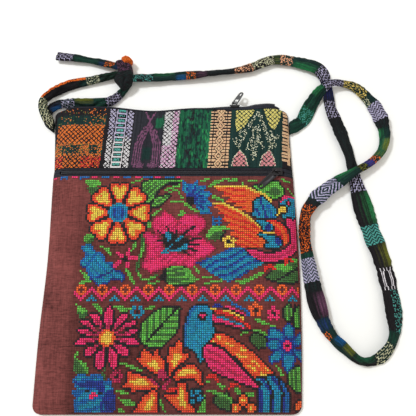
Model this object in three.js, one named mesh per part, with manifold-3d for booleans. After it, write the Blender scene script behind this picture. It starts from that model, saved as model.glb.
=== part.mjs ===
// Flat zip-top crossbody bag of woven cloth, lying on its back with its strap laid beside it.
// Millimetres, +Z up, +Y towards the mouth. Sizes are measured from the middle of the back panel.
import * as THREE from "three";
import { mergeVertices } from "three/addons/utils/BufferGeometryUtils.js";
import Module from "manifold-3d";

const wasm = await Module();
wasm.setup();

// Bag body
const BOTTOM_Y = -146;
const PANEL_HEIGHT = 216.8;
const ZIP_SLOT = 8.6;
const BAND_HEIGHT = 62;
const CLOTH = 1.5;
const GAP = 0.3;
const BOTTOM_CORNER = 8;
const TOP_CORNER = 6;
const CROWN = 8.5;
const SHOULDER = 18;
const SHOULDER_POWER = 2.2;
const MOUTH_DROP = 0.15;
const SEAM_EDGE = 0.6;
const BACK_EDGE_LIFT = 0.7;
const BACK_EDGE_REACH = 4;
const WAVE_HEIGHT = 0.35;
const WAVE_ACROSS = 31;
const WAVE_ALONG = 43;
const ZIP_VALLEY = 0.8;
const ZIP_VALLEY_REACH = 7;

const PANEL_TOP = BOTTOM_Y + PANEL_HEIGHT;
const BAND_BOTTOM = PANEL_TOP + ZIP_SLOT;
const BAND_TOP = BAND_BOTTOM + BAND_HEIGHT;
const POCKET_ZIP_Y = PANEL_TOP + ZIP_SLOT / 2;
const INNER_FLOOR = CLOTH + GAP;
const SEAM_TOP = INNER_FLOOR + SEAM_EDGE;

// Side seams, from the bottom to the mouth
const OUTLINE = [
  { y: -146, left: -117.2, right: 117.6 },
  { y: -80, left: -118.8, right: 119.8 },
  { y: -10, left: -119.6, right: 120.2 },
  { y: 70, left: -115.9, right: 118.8 },
  { y: 80, left: -113.6, right: 118.6 },
  { y: 142, left: -118.8, right: 116.6 },
];

// Rise and dip of the mouth's edge above a straight line
const MOUTH_EDGE = [
  { x: -119, rise: 1.0 },
  { x: -66, rise: 1.8 },
  { x: -20, rise: -2.6 },
  { x: 20, rise: 0.2 },
  { x: 50, rise: 0 },
  { x: 74, rise: 0 },
  { x: 104, rise: 2.2 },
  { x: 117, rise: 2.2 },
];

// Zips
const TAPE = 0.9;
const TAPE_INSET = 0.5;
const CHAIN_HALF = 2;
const CHAIN_TOP = 0.3;
const CHAIN_BOTTOM = -1.6;
const CHAIN_GROOVE = 0.3;
const COIL_RADIUS = 0.95;
const COIL_SIDES = 8;
const CHAIN_RIDGE = 1.1;
const CHAIN_ROUNDING = 0.6;
const TAPE_EDGE = CHAIN_HALF + GAP;
const TAPE_LEVEL = -TAPE_INSET - TAPE / 2;
const FRONT_FLANGE = 1.8;
const BACK_FLANGE = 3;
const TAPE_STAND_OFF = 0.2;
const TAPE_SEAT = GAP + TAPE / 2 + TAPE_STAND_OFF;
const TAPE_MOUTH_MARGIN = 1.2;
const TAPE_BEND_MARGIN = 0.1;

// Mouth zip: how far the chain stands out, its tilt up from facing +Y, its lift, and how far it is open
const MOUTH_ZIP = [
  { x: -112, reach: 2.8, tilt: 0, lift: 0, open: 0, flap: 3 },
  { x: 20, reach: 2.8, tilt: 0, lift: 0, open: 0, flap: 3 },
  { x: 54, reach: 4.9, tilt: 30, lift: 1.8, open: 0, flap: 3 },
  { x: 70, reach: 4.9, tilt: 30, lift: 1.8, open: 0, flap: 3 },
  { x: 84, reach: 4.2, tilt: 20, lift: 0.5, open: 1, flap: 3.2 },
  { x: 102, reach: 3.4, tilt: 10, lift: 0, open: 1, flap: 3.2 },
  { x: 110, reach: 2.4, tilt: 0, lift: 0, open: 1, flap: 1.6 },
];
const MOUTH_SLIDER_X = 63;
const MOUTH_CHAIN_MARGIN = 16;
const MOUTH_COIL_MARGIN = 15;
const MOUTH_TAPE_MARGIN = 9;
const POCKET_SLIDER_X = 103;
const POCKET_CHAIN_MARGIN = 8;

// Slider, in its own frame: x along the zip, z out of the cloth, z = 0 at the cloth's face
const SLIDER_HALF_LENGTH = 5;
const SLIDER_HALF_WIDTH = 3.9;
const SLIDER_TAPER = 0.9;
const SLIDER_BASE_HALF_WIDTH = 2.1;
const SLIDER_NOSE = 2;
const PLATE = 1.1;
const PLATE_CLEAR = 0.35;
const PLATE_BOTTOM = CHAIN_TOP + PLATE_CLEAR;
const PLATE_TOP = PLATE_BOTTOM + PLATE;
const BASE = 1;
const BASE_TOP = CHAIN_BOTTOM - 2 * GAP;
const BASE_BOTTOM = BASE_TOP - BASE;
const WEDGE_FROM = 2.3;
const WEDGE_TO = 4.7;
const WEDGE_HALF_WIDTH = 1.3;
const FLANGE_WALL = 0.8;
const FLANGE_BOTTOM = -0.2;
const FLANGE_BACK = 3.5;
const FLANGE_FRONT = 2.5;
const WELD = 0.2;
const CHAIN_STOP_GAP = 0.4;
const CHAIN_STOP = WEDGE_FROM - CHAIN_STOP_GAP;
const BRIDGE_HALF_LENGTH = 2.7;
const BRIDGE_WINDOW = 1.9;
const BRIDGE_HALF_WIDTH = 0.8;
const BRIDGE_CLEAR = 2.35;
const BRIDGE_BAR = 1;
const BRIDGE_ROUND = 1.2;
const BRIDGE_ROUND_STEPS = 3;
const PULL_AXIS_RISE = 1.3;
const PULL_AXIS = PLATE_TOP + PULL_AXIS_RISE;

// Pulls, in their own frame: the eye's bar lies on the y axis, the pull runs along +x
const PULL_THICKNESS = 1.3;
const PULL_BEVEL = 0.2;
const EYE_HALF_WIDTH = 2.6;
const EYE_LENGTH = 5.6;
const EYE_WALL = 1;
const BAR_HALF = PULL_THICKNESS / 2;
const PULL_TIP_HALF_WIDTH = 3;
const PULL_RECESS_DEPTH = 0.4;
const PULL_RECESS_MARGIN = 1.1;
const PULL_SLOT_LENGTH = 3.4;
const PULL_SLOT_HALF_WIDTH = 1.3;
const PULL_SLOT_MARGIN = 1.5;
const PULL_TIP_STEPS = 6;
const BLACK_ENAMEL = 0x232427;
const GUNMETAL = 0x4a4c50;
const POCKET_PULL = { length: 25, yaw: 222, rise: -4.5, slotted: false, color: BLACK_ENAMEL };
const MOUTH_PULL = { length: 15, yaw: 42, rise: 45, slotted: true, color: GUNMETAL };

// Strap cloth, folded to a flat tube
const STRAP_WIDTH = 18;
const STRAP_THICKNESS = 2.5;
const STRAP_SIDES = 10;
const STRAP_MAX_THICKNESS = 4.6;
const STRAP_SQUARENESS = 0.6;
const STRAP_STEPS = 54;
const LOOP_STEPS = 9;
const TAIL_STEPS = 6;
const RIGHTWARDS = new THREE.Vector3(1, 0, 0);
const LEFTWARDS = new THREE.Vector3(-1, 0, 0);
const UPWARDS = new THREE.Vector3(0, 0, 1);

// Strap's route from the right seam to the knot: width as bunched there, lean of the flat cloth
// with its left edge up, and height of its lowest edge
const STRAP_ROUTE = [
  { x: 117.8, y: 124, width: 14, lean: 0, lift: 0.9 },
  { x: 130, y: 131, width: 16, lean: 34, lift: 0.3 },
  { x: 140, y: 148, width: 17, lean: 38, lift: 0.3 },
  { x: 150, y: 163, width: 14, lean: 34, lift: 2.5 },
  { x: 161, y: 171.5, width: 9.5, lean: 18, lift: 5.8 },
  { x: 173, y: 173, width: 10, lean: 48, lift: 2.5 },
  { x: 186, y: 170, width: 12, lean: 60, lift: 0.3 },
  { x: 198, y: 157.5, width: 15, lean: 50, lift: 0.3 },
  { x: 208, y: 140, width: 18, lean: 36, lift: 0.3 },
  { x: 212.5, y: 118, width: 15, lean: 48, lift: 0.3 },
  { x: 209, y: 101.5, width: 13, lean: 58, lift: 0.3 },
  { x: 198, y: 88.5, width: 11.5, lean: 58, lift: 1 },
  { x: 178.5, y: 76, width: 10, lean: 22, lift: 5.6 },
  { x: 161, y: 65.5, width: 15, lean: 36, lift: 1.2 },
  { x: 144, y: 53, width: 17.5, lean: 28, lift: 0.3 },
  { x: 130.5, y: 36, width: 15, lean: 40, lift: 0.3 },
  { x: 127.5, y: 18, width: 14, lean: 45, lift: 0.3 },
  { x: 128.8, y: -6, width: 15, lean: 40, lift: 0.3 },
  { x: 136.5, y: -53, width: 18, lean: 26, lift: 0.3 },
  { x: 144.5, y: -75, width: 15, lean: 50, lift: 0.3 },
  { x: 158, y: -90, width: 14, lean: 52, lift: 0.3 },
  { x: 174, y: -101.5, width: 10, lean: 60, lift: 0.3 },
  { x: 190, y: -97.5, width: 15, lean: 46, lift: 0.3 },
  { x: 202, y: -83, width: 13, lean: 54, lift: 0.3 },
  { x: 205.5, y: -61, width: 17, lean: 34, lift: 0.3 },
  { x: 199, y: -9, width: 17.5, lean: 24, lift: 0.3 },
  { x: 191.5, y: 18, width: 18, lean: 4, lift: 0.3 },
  { x: 185.5, y: 44, width: 18, lean: 0, lift: 0.3 },
  { x: 179.5, y: 73, width: 10.5, lean: 0, lift: 0.3 },
  { x: 176, y: 94, width: 12, lean: 26, lift: 0.3 },
  { x: 168.5, y: 121, width: 16, lean: 46, lift: 0.3 },
  { x: 160.5, y: 147, width: 14, lean: 34, lift: 0.3 },
  { x: 158.5, y: 170, width: 10, lean: 0, lift: 0.3 },
  { x: 152.5, y: 189.5, width: 16, lean: 40, lift: 0.3 },
  { x: 131, y: 198.5, width: 17, lean: 45, lift: 0.3 },
  { x: 104, y: 201.5, width: 15, lean: 54, lift: 0.3 },
  { x: 78, y: 191.5, width: 14, lean: 60, lift: 0.3 },
  { x: 50, y: 186, width: 12, lean: 70, lift: 0.3 },
  { x: -14, y: 180.5, width: 14, lean: 60, lift: 1 },
  { x: -46, y: 178, width: 10, lean: 40, lift: 4 },
];

// Upper leg of the side loop, from the left seam to the knot
const UPPER_LEG_ROUTE = [
  { x: -118.6, y: 127, width: 14, lean: 0, lift: 4 },
  { x: -125.5, y: 134, width: 15, lean: 22, lift: 4.8 },
  { x: -130, y: 143.5, width: 14, lean: 44, lift: 5.6 },
  { x: -130.5, y: 152.5, width: 14, lean: 54, lift: 4.2 },
  { x: -125.5, y: 161.5, width: 14, lean: 52, lift: 1.2 },
  { x: -116, y: 167.5, width: 15, lean: 50, lift: 0.3 },
  { x: -103, y: 172.5, width: 15, lean: 54, lift: 0.3 },
  { x: -84, y: 177, width: 13, lean: 62, lift: 0.3 },
  { x: -52, y: 184.5, width: 10, lean: 56, lift: 3 },
];

// Lower leg of the side loop, under the upper one at the seam
const LOWER_LEG_ROUTE = [
  { x: -118.6, y: 125, width: 14, lean: 0, lift: 0.3 },
  { x: -125, y: 132, width: 13, lean: 0, lift: 0.3 },
  { x: -125, y: 143, width: 12, lean: 0, lift: 0.3 },
  { x: -116.5, y: 150.5, width: 12, lean: 22, lift: 0.3 },
  { x: -102, y: 151.8, width: 14, lean: 48, lift: 0.3 },
  { x: -78, y: 151.5, width: 15, lean: 48, lift: 0.3 },
  { x: -66, y: 153, width: 14, lean: 50, lift: 0.3 },
  { x: -56, y: 159.5, width: 12, lean: 52, lift: 0.3 },
  { x: -47, y: 173, width: 10, lean: 45, lift: 3 },
];

// Strap's free end, from the knot outwards
const TAIL_ROUTE = [
  { x: -52, y: 191, width: 10, lean: 40, lift: 3 },
  { x: -65.5, y: 195.8, width: 13, lean: 56, lift: 0.3 },
  { x: -85.5, y: 200.5, width: 13, lean: 66, lift: 0.3 },
  { x: -105.5, y: 204, width: 14, lean: 58, lift: 0.3 },
  { x: -121.5, y: 206, width: 15, lean: 60, lift: 0.3 },
];

// Knot: sections along its length, from the lower end to the upper one
const KNOT_FROM = new THREE.Vector2(-46.5, 165);
const KNOT_TO = new THREE.Vector2(-53.5, 200.5);
const KNOT_SIDES = 14;
const KNOT_BASE = 0.3;
const KNOT = [
  { along: 0, half: 4.5, height: 8 },
  { along: 0.07, half: 7, height: 11.5 },
  { along: 0.17, half: 8, height: 13 },
  { along: 0.25, half: 7.6, height: 12.4 },
  { along: 0.33, half: 9.6, height: 15 },
  { along: 0.45, half: 10.4, height: 16.2 },
  { along: 0.53, half: 9.6, height: 15.2 },
  { along: 0.62, half: 10.4, height: 16 },
  { along: 0.72, half: 9.8, height: 15 },
  { along: 0.8, half: 8.4, height: 13.2 },
  { along: 0.9, half: 7.4, height: 12 },
  { along: 1, half: 4.6, height: 8.4 },
];

// Colours and finishes
const MAROON = 0x6e4141;
const BAND_GREEN = 0x163c34;
const ZIP_BLACK = 0x1e2028;
const STRAP_GREEN = 0x24362f;
const CLOTH_FINISH = { roughness: 0.9, metalness: 0 };
const NYLON_FINISH = { roughness: 0.5, metalness: 0 };
const METAL_FINISH = { roughness: 0.4, metalness: 0.9 };

// Grid and ring steps
const BACK_GRID = { columns: 22, rows: 14 };
const PANEL_GRID = { columns: 22, rows: 20 };
const BAND_GRID = { columns: 26, rows: 9 };
const POCKET_TAPE_GRID = { columns: 28, rows: 1 };
const POCKET_CHAIN_STEPS = 24;
const MOUTH_CHAIN_STEPS = 28;
const MOUTH_TAPE_STEPS = 34;
const MOUTH_COIL_STEPS = 12;
const CROWDING = 0.6;
const MERGE_WITHIN = 1e-5;

// Value of a table's column between its rows, on a smooth curve
function between(rows, key, at, column) {
  const last = rows.length - 1;
  if (at <= rows[0][key]) return rows[0][column];
  if (at >= rows[last][key]) return rows[last][column];
  const i = rows.findIndex((row) => row[key] > at) - 1;
  const slope = (k) => {
    const a = rows[Math.max(k - 1, 0)];
    const b = rows[Math.min(k + 1, last)];
    return (b[column] - a[column]) / (b[key] - a[key]);
  };
  const span = rows[i + 1][key] - rows[i][key];
  const t = (at - rows[i][key]) / span;
  const rise = t * t * (3 - 2 * t);
  const curve = span * (t * (1 - t) ** 2 * slope(i) - t * t * (1 - t) * slope(i + 1));
  return rows[i][column] + (rows[i + 1][column] - rows[i][column]) * rise + curve;
}

const lerp = THREE.MathUtils.lerp;
const radians = THREE.MathUtils.degToRad;
const rounded = (t) => 1 - (1 - THREE.MathUtils.clamp(t, 0, 1)) ** SHOULDER_POWER;

// How far the outline turns in at its round corners
function cornerInset(y) {
  const arc = (radius, depth) => radius - Math.sqrt(radius ** 2 - Math.min(depth, radius) ** 2);
  const low = BOTTOM_CORNER - (y - BOTTOM_Y);
  const high = TOP_CORNER - (BAND_TOP - y);
  if (low > 0) return arc(BOTTOM_CORNER, low);
  return high > 0 ? arc(TOP_CORNER, high) : 0;
}

const leftEdge = (y) => between(OUTLINE, "y", y, "left") + cornerInset(y);
const rightEdge = (y) => between(OUTLINE, "y", y, "right") - cornerInset(y);
const mouthRise = (x) => between(MOUTH_EDGE, "x", x, "rise");

// Outer face of the slack front cloth
function frontHeight(x, y) {
  const sides = rounded((x - leftEdge(y)) / SHOULDER) * rounded((rightEdge(y) - x) / SHOULDER);
  const bottom = rounded((y - BOTTOM_Y) / SHOULDER);
  const mouth = 1 - MOUTH_DROP * THREE.MathUtils.smoothstep(y, BAND_BOTTOM, BAND_TOP);
  const valley = ZIP_VALLEY * Math.exp(-(((y - POCKET_ZIP_Y) / ZIP_VALLEY_REACH) ** 2));
  const wave = WAVE_HEIGHT * Math.sin(x / WAVE_ACROSS + y / WAVE_ALONG) * Math.cos(y / WAVE_ACROSS);
  return SEAM_TOP + (CROWN + wave - valley) * sides * bottom * mouth;
}

// Closed mesh from points and triangles, its faces turned outwards
function closedMesh(points, triangles) {
  let volume = 0;
  for (let i = 0; i < triangles.length; i += 3) {
    const [a, b, c] = [0, 1, 2].map((k) => points[triangles[i + k]]);
    volume += a.dot(new THREE.Vector3().crossVectors(b, c));
  }
  const faces = volume < 0 ? triangles.slice().reverse() : triangles;
  const geometry = new THREE.BufferGeometry().setFromPoints(points);
  geometry.setIndex(faces);
  geometry.computeVertexNormals();
  return geometry;
}

// Cloth slab between an upper and a lower face, both given on a grid of columns and rows
function slab({ columns, rows }, upper, lower) {
  const points = [];
  const triangles = [];
  const count = (columns + 1) * (rows + 1);
  const at = (i, j) => j * (columns + 1) + i;
  const quad = (a, b, c, d) => triangles.push(a, b, c, a, c, d);
  for (const face of [upper, lower]) {
    for (let j = 0; j <= rows; j++) {
      for (let i = 0; i <= columns; i++) points.push(face(i / columns, j / rows));
    }
  }
  for (let j = 0; j < rows; j++) {
    for (let i = 0; i < columns; i++) {
      const corners = [at(i, j), at(i + 1, j), at(i + 1, j + 1), at(i, j + 1)];
      quad(...corners);
      quad(...corners.map((k) => k + count).reverse());
    }
  }
  const rim = [];
  for (let i = 0; i < columns; i++) rim.push(at(i, 0));
  for (let j = 0; j < rows; j++) rim.push(at(columns, j));
  for (let i = columns; i > 0; i--) rim.push(at(i, rows));
  for (let j = rows; j > 0; j--) rim.push(at(0, j));
  rim.forEach((a, k) => {
    const b = rim[(k + 1) % rim.length];
    quad(a, a + count, b + count, b);
  });
  return closedMesh(points, triangles);
}

// Skin through rings of equal count, closed by a cap at each end
function loft(rings, outline) {
  const sides = rings[0].length;
  const triangles = [];
  for (let r = 0; r + 1 < rings.length; r++) {
    for (let k = 0; k < sides; k++) {
      const a = r * sides + k;
      const b = r * sides + ((k + 1) % sides);
      triangles.push(a, b, b + sides, a, b + sides, a + sides);
    }
  }
  const cap = THREE.ShapeUtils.triangulateShape(outline, []);
  const turn = THREE.ShapeUtils.area(outline) > 0 ? 1 : -1;
  const end = (rings.length - 1) * sides;
  for (const face of cap) {
    const [a, b, c] = turn > 0 ? face : [...face].reverse();
    triangles.push(c, b, a, a + end, b + end, c + end);
  }
  return closedMesh(rings.flat(), triangles);
}

// Steps from 0 to 1 that lie closer together near both ends
function closerAtEnds(t) {
  const eased = 0.5 - 0.5 * Math.cos(Math.PI * t);
  return lerp(t, eased, CROWDING);
}

function solidOf(geometry) {
  const bare = geometry.clone();
  bare.deleteAttribute("normal");
  bare.deleteAttribute("uv");
  const merged = mergeVertices(bare, MERGE_WITHIN);
  const vertProperties = new Float32Array(merged.attributes.position.array);
  const triVerts = new Uint32Array(merged.index.array);
  return new wasm.Manifold(new wasm.Mesh({ numProp: 3, vertProperties, triVerts }));
}

function geometryOf(solid) {
  const mesh = solid.getMesh();
  const geometry = new THREE.BufferGeometry();
  geometry.setAttribute("position", new THREE.BufferAttribute(mesh.vertProperties, 3));
  geometry.setIndex(new THREE.BufferAttribute(mesh.triVerts, 1));
  geometry.computeVertexNormals();
  return geometry;
}

const join = (pieces) => geometryOf(pieces.map(solidOf).reduce((a, b) => a.add(b)));
const cut = (piece, tool) => geometryOf(solidOf(piece).subtract(solidOf(tool)));

function block(x0, x1, y0, y1, z0, z1) {
  const box = new THREE.BoxGeometry(x1 - x0, y1 - y0, z1 - z0);
  return box.translate((x0 + x1) / 2, (y0 + y1) / 2, (z0 + z1) / 2);
}

function piece(name, geometry, color, finish) {
  const material = new THREE.MeshStandardMaterial({ color, ...finish });
  const mesh = new THREE.Mesh(geometry, material);
  mesh.name = name;
  return mesh;
}

const cloth = (name, geometry, color) => piece(name, geometry, color, CLOTH_FINISH);
const nylon = (name, geometry) => piece(name, geometry, ZIP_BLACK, NYLON_FINISH);
const metal = (name, geometry, color) => piece(name, geometry, color, METAL_FINISH);

// Point across the bag at a share of its width
function across(u, y) {
  return lerp(leftEdge(y), rightEdge(y), closerAtEnds(u));
}

// Back: flat where it lies, its rim turned up to the seam
function backPanel() {
  const rowY = (v) => lerp(BOTTOM_Y, BAND_TOP, closerAtEnds(v));
  const place = (u, v, z) => {
    const x = across(u, rowY(v));
    return new THREE.Vector3(x, rowY(v) + v * v * mouthRise(x), z);
  };
  const lower = (u, v) => {
    const y = rowY(v);
    const x = across(u, y);
    const rim = Math.min(x - leftEdge(y), rightEdge(y) - x, y - BOTTOM_Y);
    const turn = Math.max(0, 1 - rim / BACK_EDGE_REACH);
    return place(u, v, BACK_EDGE_LIFT * turn ** 2);
  };
  return slab(BACK_GRID, (u, v) => place(u, v, CLOTH), lower);
}

// Front cloth between two heights, hollow underneath
function frontCloth(grid, rowY, rise) {
  const point = (u, v, depth) => {
    const y = rowY(v);
    const x = across(u, y);
    const z = Math.max(frontHeight(x, y) - depth, depth > 0 ? INNER_FLOOR : 0);
    return new THREE.Vector3(x, y + rise(x, v), z);
  };
  return slab(grid, (u, v) => point(u, v, 0), (u, v) => point(u, v, CLOTH));
}

function frontPanel() {
  const rowY = (v) => lerp(BOTTOM_Y, PANEL_TOP, closerAtEnds(v));
  return frontCloth(PANEL_GRID, rowY, () => 0);
}

function frontBand() {
  const rowY = (v) => lerp(BAND_BOTTOM, BAND_TOP, closerAtEnds(v));
  return frontCloth(BAND_GRID, rowY, (x, v) => v * v * mouthRise(x));
}

// One tape of the pocket zip, from the cloth's folded edge to the chain
function pocketTape(side) {
  const inner = POCKET_ZIP_Y + side * TAPE_EDGE;
  const outer = POCKET_ZIP_Y + side * (ZIP_SLOT / 2 - GAP);
  const point = (u, v, depth) => {
    const y = lerp(inner, outer, v);
    const x = across(u, y);
    const face = frontHeight(x, y);
    const sunk = Math.max(face - TAPE_INSET, Math.min(face, SEAM_TOP));
    return new THREE.Vector3(x, y, depth > 0 ? Math.max(sunk - depth, INNER_FLOOR) : sunk);
  };
  return slab(POCKET_TAPE_GRID, (u, v) => point(u, v, 0), (u, v) => point(u, v, TAPE));
}

// Section of a closed coil chain: two rounded ridges and the groove between them
function chainOutline() {
  const shoulder = CHAIN_TOP - CHAIN_ROUNDING;
  return [
    [-CHAIN_HALF, CHAIN_BOTTOM],
    [CHAIN_HALF, CHAIN_BOTTOM],
    [CHAIN_HALF, shoulder],
    [CHAIN_RIDGE, CHAIN_TOP],
    [CHAIN_GROOVE, CHAIN_TOP],
    [0, CHAIN_TOP - CHAIN_GROOVE],
    [-CHAIN_GROOVE, CHAIN_TOP],
    [-CHAIN_RIDGE, CHAIN_TOP],
    [-CHAIN_HALF, shoulder],
  ].map(([a, b]) => new THREE.Vector2(a, b));
}

function pocketChain() {
  const from = leftEdge(POCKET_ZIP_Y) + POCKET_CHAIN_MARGIN;
  const to = POCKET_SLIDER_X + CHAIN_STOP;
  const outline = chainOutline();
  const rings = [];
  for (let i = 0; i <= POCKET_CHAIN_STEPS; i++) {
    const x = lerp(from, to, i / POCKET_CHAIN_STEPS);
    const z = frontHeight(x, POCKET_ZIP_Y);
    rings.push(outline.map((p) => new THREE.Vector3(x, POCKET_ZIP_Y + p.x, z + p.y)));
  }
  return loft(rings, outline);
}

// Frame of the mouth zip at x: its centre, the way it faces, and the way to its front tape
function mouthZip(x) {
  const value = (column) => between(MOUTH_ZIP, "x", x, column);
  const tilt = radians(value("tilt"));
  const edge = BAND_TOP + mouthRise(x);
  const front = frontHeight(x, BAND_TOP);
  const centre = new THREE.Vector2(edge + value("reach"), front / 2 + value("lift"));
  const normal = new THREE.Vector2(Math.cos(tilt), Math.sin(tilt));
  const side = new THREE.Vector2(-Math.sin(tilt), Math.cos(tilt));
  const open = THREE.MathUtils.clamp(value("open"), 0, 1);
  const at = (sideways, level) =>
    centre.clone().addScaledVector(side, sideways).addScaledVector(normal, level);
  return { edge, front, open, flap: value("flap"), at };
}

// Middle line of a mouth tape in the section at x: cloth edge, bend, free edge
function mouthTapeLine(x, side) {
  const zip = mouthZip(x);
  const seat = zip.edge + TAPE_SEAT;
  const room = Math.min(TAPE_EDGE, zip.front / 2 - TAPE_MOUTH_MARGIN);
  const frontLevel = zip.front - CLOTH / 2;
  const start = new THREE.Vector2(seat, side > 0 ? frontLevel : CLOTH / 2);
  const free = zip.at(side * room, TAPE_LEVEL);
  const bend = zip.at(side * (room + (side > 0 ? FRONT_FLANGE : BACK_FLANGE)), TAPE_LEVEL);
  bend.x = Math.max(bend.x, seat + TAPE_BEND_MARGIN);
  bend.y = THREE.MathUtils.clamp(bend.y, CLOTH / 2, frontLevel);
  const openLevel = side > 0 ? frontLevel : COIL_RADIUS + GAP;
  const openFree = new THREE.Vector2(seat + zip.flap, openLevel);
  const openBend = start.clone().lerp(openFree, 0.5);
  return [start, bend.lerp(openBend, zip.open), free.lerp(openFree, zip.open)];
}

// Outline of a band of even thickness along a bent line
function bandOutline(line, thickness) {
  const normals = line.map((p, i) => {
    const a = line[Math.max(i - 1, 0)];
    const b = line[Math.min(i + 1, line.length - 1)];
    const way = b.clone().sub(a).normalize();
    return new THREE.Vector2(-way.y, way.x);
  });
  const offset = (by) => line.map((p, i) => p.clone().addScaledVector(normals[i], by));
  return [...offset(thickness / 2), ...offset(-thickness / 2).reverse()];
}

function mouthTape(side) {
  const from = leftEdge(BAND_BOTTOM + BAND_HEIGHT / 2) + MOUTH_TAPE_MARGIN;
  const to = rightEdge(BAND_BOTTOM + BAND_HEIGHT / 2) - MOUTH_TAPE_MARGIN;
  const rings = [];
  let outline;
  for (let i = 0; i <= MOUTH_TAPE_STEPS; i++) {
    const x = lerp(from, to, i / MOUTH_TAPE_STEPS);
    const section = bandOutline(mouthTapeLine(x, side), TAPE);
    outline ??= section;
    rings.push(section.map((p) => new THREE.Vector3(x, p.x, Math.max(p.y, GAP))));
  }
  return loft(rings, outline);
}

function mouthChain() {
  const from = leftEdge(BAND_BOTTOM) + MOUTH_CHAIN_MARGIN;
  const to = MOUTH_SLIDER_X + CHAIN_STOP;
  const outline = chainOutline();
  const rings = [];
  for (let i = 0; i <= MOUTH_CHAIN_STEPS; i++) {
    const x = lerp(from, to, i / MOUTH_CHAIN_STEPS);
    const zip = mouthZip(x);
    rings.push(outline.map((p) => zip.at(p.x, p.y)).map((p) => new THREE.Vector3(x, p.x, p.y)));
  }
  return loft(rings, outline);
}

// Parted coil along the free edge of a mouth tape, from the slider to the end of the zip
function mouthCoil(side) {
  const from = MOUTH_SLIDER_X + SLIDER_HALF_LENGTH + GAP;
  const to = rightEdge(BAND_BOTTOM) - MOUTH_COIL_MARGIN;
  const outline = [];
  for (let k = 0; k < COIL_SIDES; k++) {
    const turn = (2 * Math.PI * k) / COIL_SIDES;
    outline.push(new THREE.Vector2(COIL_RADIUS * Math.cos(turn), COIL_RADIUS * Math.sin(turn)));
  }
  const rings = [];
  for (let i = 0; i <= MOUTH_COIL_STEPS; i++) {
    const x = lerp(from, to, i / MOUTH_COIL_STEPS);
    const [, bend, free] = mouthTapeLine(x, side);
    const way = free.clone().sub(bend).normalize();
    const centre = free.clone().addScaledVector(way, COIL_RADIUS + GAP);
    rings.push(outline.map((p) => new THREE.Vector3(x, centre.x + p.x, centre.y + p.y)));
  }
  return loft(rings, outline);
}

// Plate of a slider: a rectangle whose ends are narrower
function sliderPlate(halfWidth, z0, z1) {
  const waist = halfWidth - SLIDER_TAPER;
  const shoulder = SLIDER_HALF_LENGTH - SLIDER_NOSE;
  const shape = new THREE.Shape([
    new THREE.Vector2(-SLIDER_HALF_LENGTH, -waist),
    new THREE.Vector2(-shoulder, -halfWidth),
    new THREE.Vector2(shoulder, -halfWidth),
    new THREE.Vector2(SLIDER_HALF_LENGTH, -waist),
    new THREE.Vector2(SLIDER_HALF_LENGTH, waist),
    new THREE.Vector2(shoulder, halfWidth),
    new THREE.Vector2(-shoulder, halfWidth),
    new THREE.Vector2(-SLIDER_HALF_LENGTH, waist),
  ]);
  return new THREE.ExtrudeGeometry(shape, { depth: z1 - z0, bevelEnabled: false }).translate(0, 0, z0);
}

// Bridge that holds the pull's eye: an arch over the plate, open to both sides
function sliderBridge() {
  const foot = PLATE_TOP - WELD;
  const under = PLATE_TOP + BRIDGE_CLEAR;
  const top = under + BRIDGE_BAR;
  const round = BRIDGE_ROUND;
  const shape = new THREE.Shape();
  shape.moveTo(-BRIDGE_HALF_LENGTH, foot);
  shape.lineTo(BRIDGE_HALF_LENGTH, foot);
  shape.lineTo(BRIDGE_HALF_LENGTH, top - round);
  shape.absarc(BRIDGE_HALF_LENGTH - round, top - round, round, 0, Math.PI / 2);
  shape.absarc(round - BRIDGE_HALF_LENGTH, top - round, round, Math.PI / 2, Math.PI);
  const window = new THREE.Path([
    new THREE.Vector2(-BRIDGE_WINDOW, PLATE_TOP),
    new THREE.Vector2(-BRIDGE_WINDOW, under),
    new THREE.Vector2(BRIDGE_WINDOW, under),
    new THREE.Vector2(BRIDGE_WINDOW, PLATE_TOP),
  ]);
  shape.holes.push(window);
  const depth = 2 * BRIDGE_HALF_WIDTH;
  const curveSegments = BRIDGE_ROUND_STEPS;
  const arch = new THREE.ExtrudeGeometry(shape, { depth, bevelEnabled: false, curveSegments });
  return arch.rotateX(Math.PI / 2).translate(0, BRIDGE_HALF_WIDTH, 0);
}

function slider() {
  const flange = (side) => {
    const outer = side * SLIDER_HALF_WIDTH;
    const inner = side * (SLIDER_HALF_WIDTH - FLANGE_WALL);
    const [y0, y1] = [Math.min(inner, outer), Math.max(inner, outer)];
    return block(-FLANGE_BACK, FLANGE_FRONT, y0, y1, FLANGE_BOTTOM, PLATE_BOTTOM + WELD);
  };
  const half = WEDGE_HALF_WIDTH;
  return join([
    sliderPlate(SLIDER_HALF_WIDTH, PLATE_BOTTOM, PLATE_TOP),
    sliderPlate(SLIDER_BASE_HALF_WIDTH, BASE_BOTTOM, BASE_TOP),
    block(WEDGE_FROM, WEDGE_TO, -half, half, BASE_TOP - WELD, PLATE_BOTTOM + WELD),
    flange(1),
    flange(-1),
    sliderBridge(),
  ]);
}

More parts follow.
